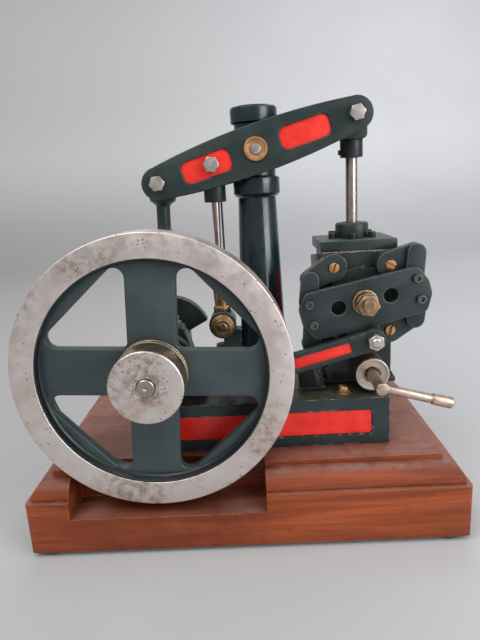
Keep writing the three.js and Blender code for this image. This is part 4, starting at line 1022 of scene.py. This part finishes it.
def eccentric():
    """Sheave and strap, and the rod that bends behind the wheel and runs up to the drive pin."""
    sheave, rod = Box("eccentric_sheave"), Box("eccentric_rod")
    drive, shaft = Box("drive_pin"), Box("crankshaft")
    x, z, y0, y1 = sheave.x, sheave.z, rod.y0, rod.y1
    slot = stadium(shaft.x, shaft.z, shaft.x + SHEAVE_SLOT, shaft.z, SHEAVE_BORE)
    disc = plate("sheave_turned", circle(x, z, SHEAVE, 96), y0, y1, holes=[slot], edge=0.3)
    dress(disc, "eccentric_rod", STEEL, "eccentric_sheave")
    bend_x, join_x, half, slope = 20.0, -22.0, 5.8, math.tan(math.radians(ROD_RISE))
    bend_z = drive.z - (drive.x - bend_x) * slope
    fall = (bend_z - z) / (bend_x - x)
    tail_z = z + (join_x - x) * fall
    bore = circle(x, z, SHEAVE + 0.3, 96)
    ring = plate("strap_cast", circle(x, z, STRAP, 96), y0, y1, holes=[bore], edge=0.4)
    tail = plate("strap_tail", [(x + 12.7, z + 12.7 * fall + 5), (x + 12.7, z + 12.7 * fall - 5),
                                (join_x - 1, tail_z - 5), (join_x - 1, tail_z + 5)], y0, y1, edge=0.4)
    dress(joined("strap_whole", ring, tail), "eccentric_rod", GREEN, "eccentric_strap")
    slant = half * math.hypot(1, slope)
    eye = arc(drive.x, drive.z, 6.6, ROD_RISE - 115, ROD_RISE + 115, 40)
    corners = [(join_x - 0.7, tail_z - half + 0.8), (bend_x, bend_z - slant)] + eye
    corners += [(bend_x, bend_z + slant), (join_x - 0.7, tail_z + half - 0.8)]
    outline = filleted(corners, [1, 14] + [0] * len(eye) + [14, 1])
    start = (bend_x + 2, bend_z + 2 * slope)
    stop = Vector((drive.x - 13.4, drive.z - 13.4 * slope))
    across = Vector((-slope, 1)).normalized() * 3.2
    inlay = arc(*start, 3.2, ROD_RISE + 90, ROD_RISE + 270) + filleted([start, stop - across, stop + across],
                                                                       [0, 0.9, 0.9])[1:]
    forged = plate("eccentric_rod_forged", outline, y0, y1, holes=[inlay], edge=0.45)
    dress(forged, "eccentric_rod", GREEN, "eccentric_rod")
    dress(plate("eccentric_rod_inlay", inlay, y0 + 0.9, y0 + 1.5, edge=0.05), "eccentric_rod", RED)
    dress(plate("eccentric_rod_back", inlay, y0 + 1.55, y1 - 0.5, edge=0.05), "eccentric_rod", GREEN)


# ---- stop valve and feed pump


def stop_valve():
    b, lever = Box("stop_valve_body"), Box("stop_valve_lever")
    x, z, r, y0, y1 = b.x, b.z, b.width / 2, b.y0, b.y1
    bare = steel("valve_steel", base=(0.56, 0.51, 0.47), rust=0.5, rough=0.38, turned=(x, z), mottling=0.12)
    barrel = [(r - 0.6, y0 + 1.6), (r, y0 + 1.9), (r, y1), (3.7, y1), (3.7, y0 + 2.6), (r - 1.2, y0 + 2.6)]
    dress(lathe("stop_valve_barrel", barrel, x, 0, z, segments=96, rounding=0.2), "frame", BRONZE,
          "stop_valve_body", slot="steel")
    ring = [(4.8, y0 + 0.9), (r - 1.6, y0 + 0.5), (r - 1.2, y0), (r, y0 + 0.1), (r, y0 + 1.7), (4.8, y0 + 2)]
    dress(lathe("stop_valve_ring", ring, x, 0, z, segments=96, rounding=0.3), "frame", bare)
    y0 = lever.y0
    spindle = [(0, y0), (3.6, y0), (3.6, y0 + 7), (3.4, y0 + 7.4), (3.4, lever.y1), (0, lever.y1)]
    turning = lathe("lever_spindle", spindle, x, 0, z, segments=64, rounding=0.5)
    reach = 41
    bar = [(0, 1.0), (2.5, 1.0), (2.65, reach - 13.4), (2.2, reach - 13.0), (2.2, reach - 12.4),
           (3.1, reach - 11.8), (3.3, reach - 5), (3.25, reach - 1.0), (2.2, reach), (0, reach)]
    tilt = Matrix.Rotation(math.radians(15.7), 4, "Y") @ Matrix.Rotation(math.radians(90), 4, "Y")
    handle = lathe("lever_handle", bar, 0, 0, 0, "Z", 48, 0.35, Matrix.Translation((x, y0 + 3.4, z)) @ tilt)
    dress(joined("lever_whole", turning, handle), "stop_valve_lever", BRIGHT_BRASS, "stop_valve_lever")


def pump():
    barrel, cap = Box("pump_barrel"), Box("pump_valve_cap")
    rod, socket = Box("pump_rod"), Box("pump_rod_socket")
    x, y, z0, z1 = barrel.x, barrel.y, barrel.z0, barrel.z1

    def upright(name, profile, segments, rounding, body, material, *nodes, **how):
        dress(lathe(name, profile, x, y, 0, "Z", segments, rounding), body, material, *nodes, **how)

    taper = [(0, z0), (5.6, z0), (5.6, z0 + 2.2), (4.6, z0 + 2.8), (5.0, z0 + 9), (5.9, z1 - 2.4),
             (6.5, z1 - 2.2), (6.5, z1), (3.0, z1), (3.0, z0 + 3), (0, z0 + 3)]
    upright("pump_barrel_turned", taper, 64, 0.3, "frame", BRASS, "pump_barrel")
    carried("pump_body", GREEN, 0.35)
    f, back = cap.y0, cap.y1
    flange = [(0, back - 0.1), (8.7, back - 0.1), (8.7, back + 2.6), (8.0, back + 3.2), (0, back + 3.2)]
    dress(lathe("pump_flange", flange, x, 0, cap.z, rounding=0.3), "frame", GREEN)
    steps = [(0, f - 0.3), (2.6, f - 0.3), (3.1, f), (4.9, f), (5.1, f + 1.4), (6.2, f + 1.6), (6.3, f + 3.1),
             (7.4, f + 3.3), (7.4, back), (0, back)]
    dress(lathe("pump_cap_turned", steps, x, 0, cap.z, rounding=0.3), "frame", BRASS, "pump_valve_cap")
    nut_top = cap.z - 14.5
    ribs = [(5.6 - 0.55 * (k % 2), nut_top - 0.75 * k) for k in range(9)]
    upright("union_nut", [(0, nut_top)] + ribs + [(0, ribs[-1][1])], 48, 0.1, "frame", BLACK_STEEL,
            slot="green_paint")
    r = rod.width / 2
    taper = [(0, rod.z0), (1.7, rod.z0), (1.8, rod.z1 - 36), (r, rod.z1 - 7), (r, rod.z1), (0, rod.z1)]
    upright("pump_rod_turned", taper, 40, 0.2, "pump_rod", ROD_STEEL, "pump_rod")
    low, top = socket.z0, socket.z1
    eye = [(r + 0.1, low), (6.8, low), (6.8, top - 0.6), (5.6, top), (r + 0.1, top)]
    upright("pump_socket_turned", eye, 64, 0.5, "pump_rod", GREEN, "pump_rod_socket")
    stay = lathe("pump_stay", tube(0.6, z1 - 14, low + 2), x + 3.6, y, 0, "Z", 20, 0.1)
    dress(stay, "pump_rod", BLACK_STEEL)


# ---- stage, light and camera


def sweep():
    """Floor and backdrop in one sheet that curves up behind."""
    curve = [math.radians(6 * i) for i in range(1, 16)]
    profile = [(-3.0, 0.0), (1.1, 0.0)] + [(1.1 + 0.5 * math.sin(a), 0.5 - 0.5 * math.cos(a)) for a in curve]
    profile.append((1.6, 3.2))
    bm = bmesh.new()
    rows = [[bm.verts.new((x, y, z)) for x in (-4.0, 4.0)] for y, z in profile]
    for a, b in zip(rows, rows[1:]):
        bm.faces.new([a[0], a[1], b[1], b[0]])
    mesh = bpy.data.meshes.new("sweep")
    bm.to_mesh(mesh)
    bm.free()
    smoothed(mesh, sharp=False)
    mesh.materials.append(backdrop())
    linked("sweep", mesh)


def light(name, place_at, size, power, color):
    """An area light that points at the engine's middle."""
    data = bpy.data.lights.new(name, "AREA")
    data.shape = "RECTANGLE"
    data.size, data.size_y = size
    data.energy = power
    data.color = color
    obj = linked(name, data)
    obj.location = place_at
    obj.rotation_euler = (Vector((0, 0, 0.12)) - Vector(place_at)).to_track_quat("-Z", "Y").to_euler()


def studio():
    world = bpy.data.worlds.new("studio")
    bpy.context.scene.world = world
    world.use_nodes = True
    background = world.node_tree.nodes["Background"]
    background.inputs["Color"].default_value = (0.90, 0.93, 1.0, 1)
    background.inputs["Strength"].default_value = 0.42
    bpy.context.scene.view_settings.view_transform = "Standard"
    light("key", (-0.55, -0.65, 1.15), (1.1, 0.9), 11, (1.0, 0.98, 0.95))
    light("front", (1.25, -1.15, 0.2), (0.9, 0.8), 10, (1.0, 0.99, 0.98))
    light("fill", (0.95, -0.75, 0.75), (0.9, 1.0), 9.5, (0.98, 0.99, 1.0))
    light("back", (0.1, 0.95, 1.35), (1.6, 0.6), 7, (1.0, 1.0, 1.0))


def camera():
    """Stands where the photograph's camera stood."""
    data = bpy.data.cameras.new("camera")
    data.sensor_fit = "VERTICAL"
    data.sensor_height = 36.0
    data.lens = 30.132
    turn = Matrix.Rotation(math.radians(1.41), 4, "Z")
    pitch = Matrix.Rotation(math.radians(90 - 14.03), 4, "X")
    roll = Matrix.Rotation(math.radians(-3.256), 4, "Z")
    board = Box("plinth_lower_board")
    where = Vector((8.31, board.y0 - 263.9, board.z0 + 197.69)) * MM
    obj = linked("camera", data)
    obj.matrix_world = Matrix.Translation(where) @ turn @ pitch @ roll
    bpy.context.scene.camera = obj


for build in (plinth, bed, column, beam, bushes, connecting_rod, crank, flywheel, pulley, bearings, cylinder,
              piston_rod, valve_gear, eccentric, stop_valve, pump, sweep, studio, camera):
    build()
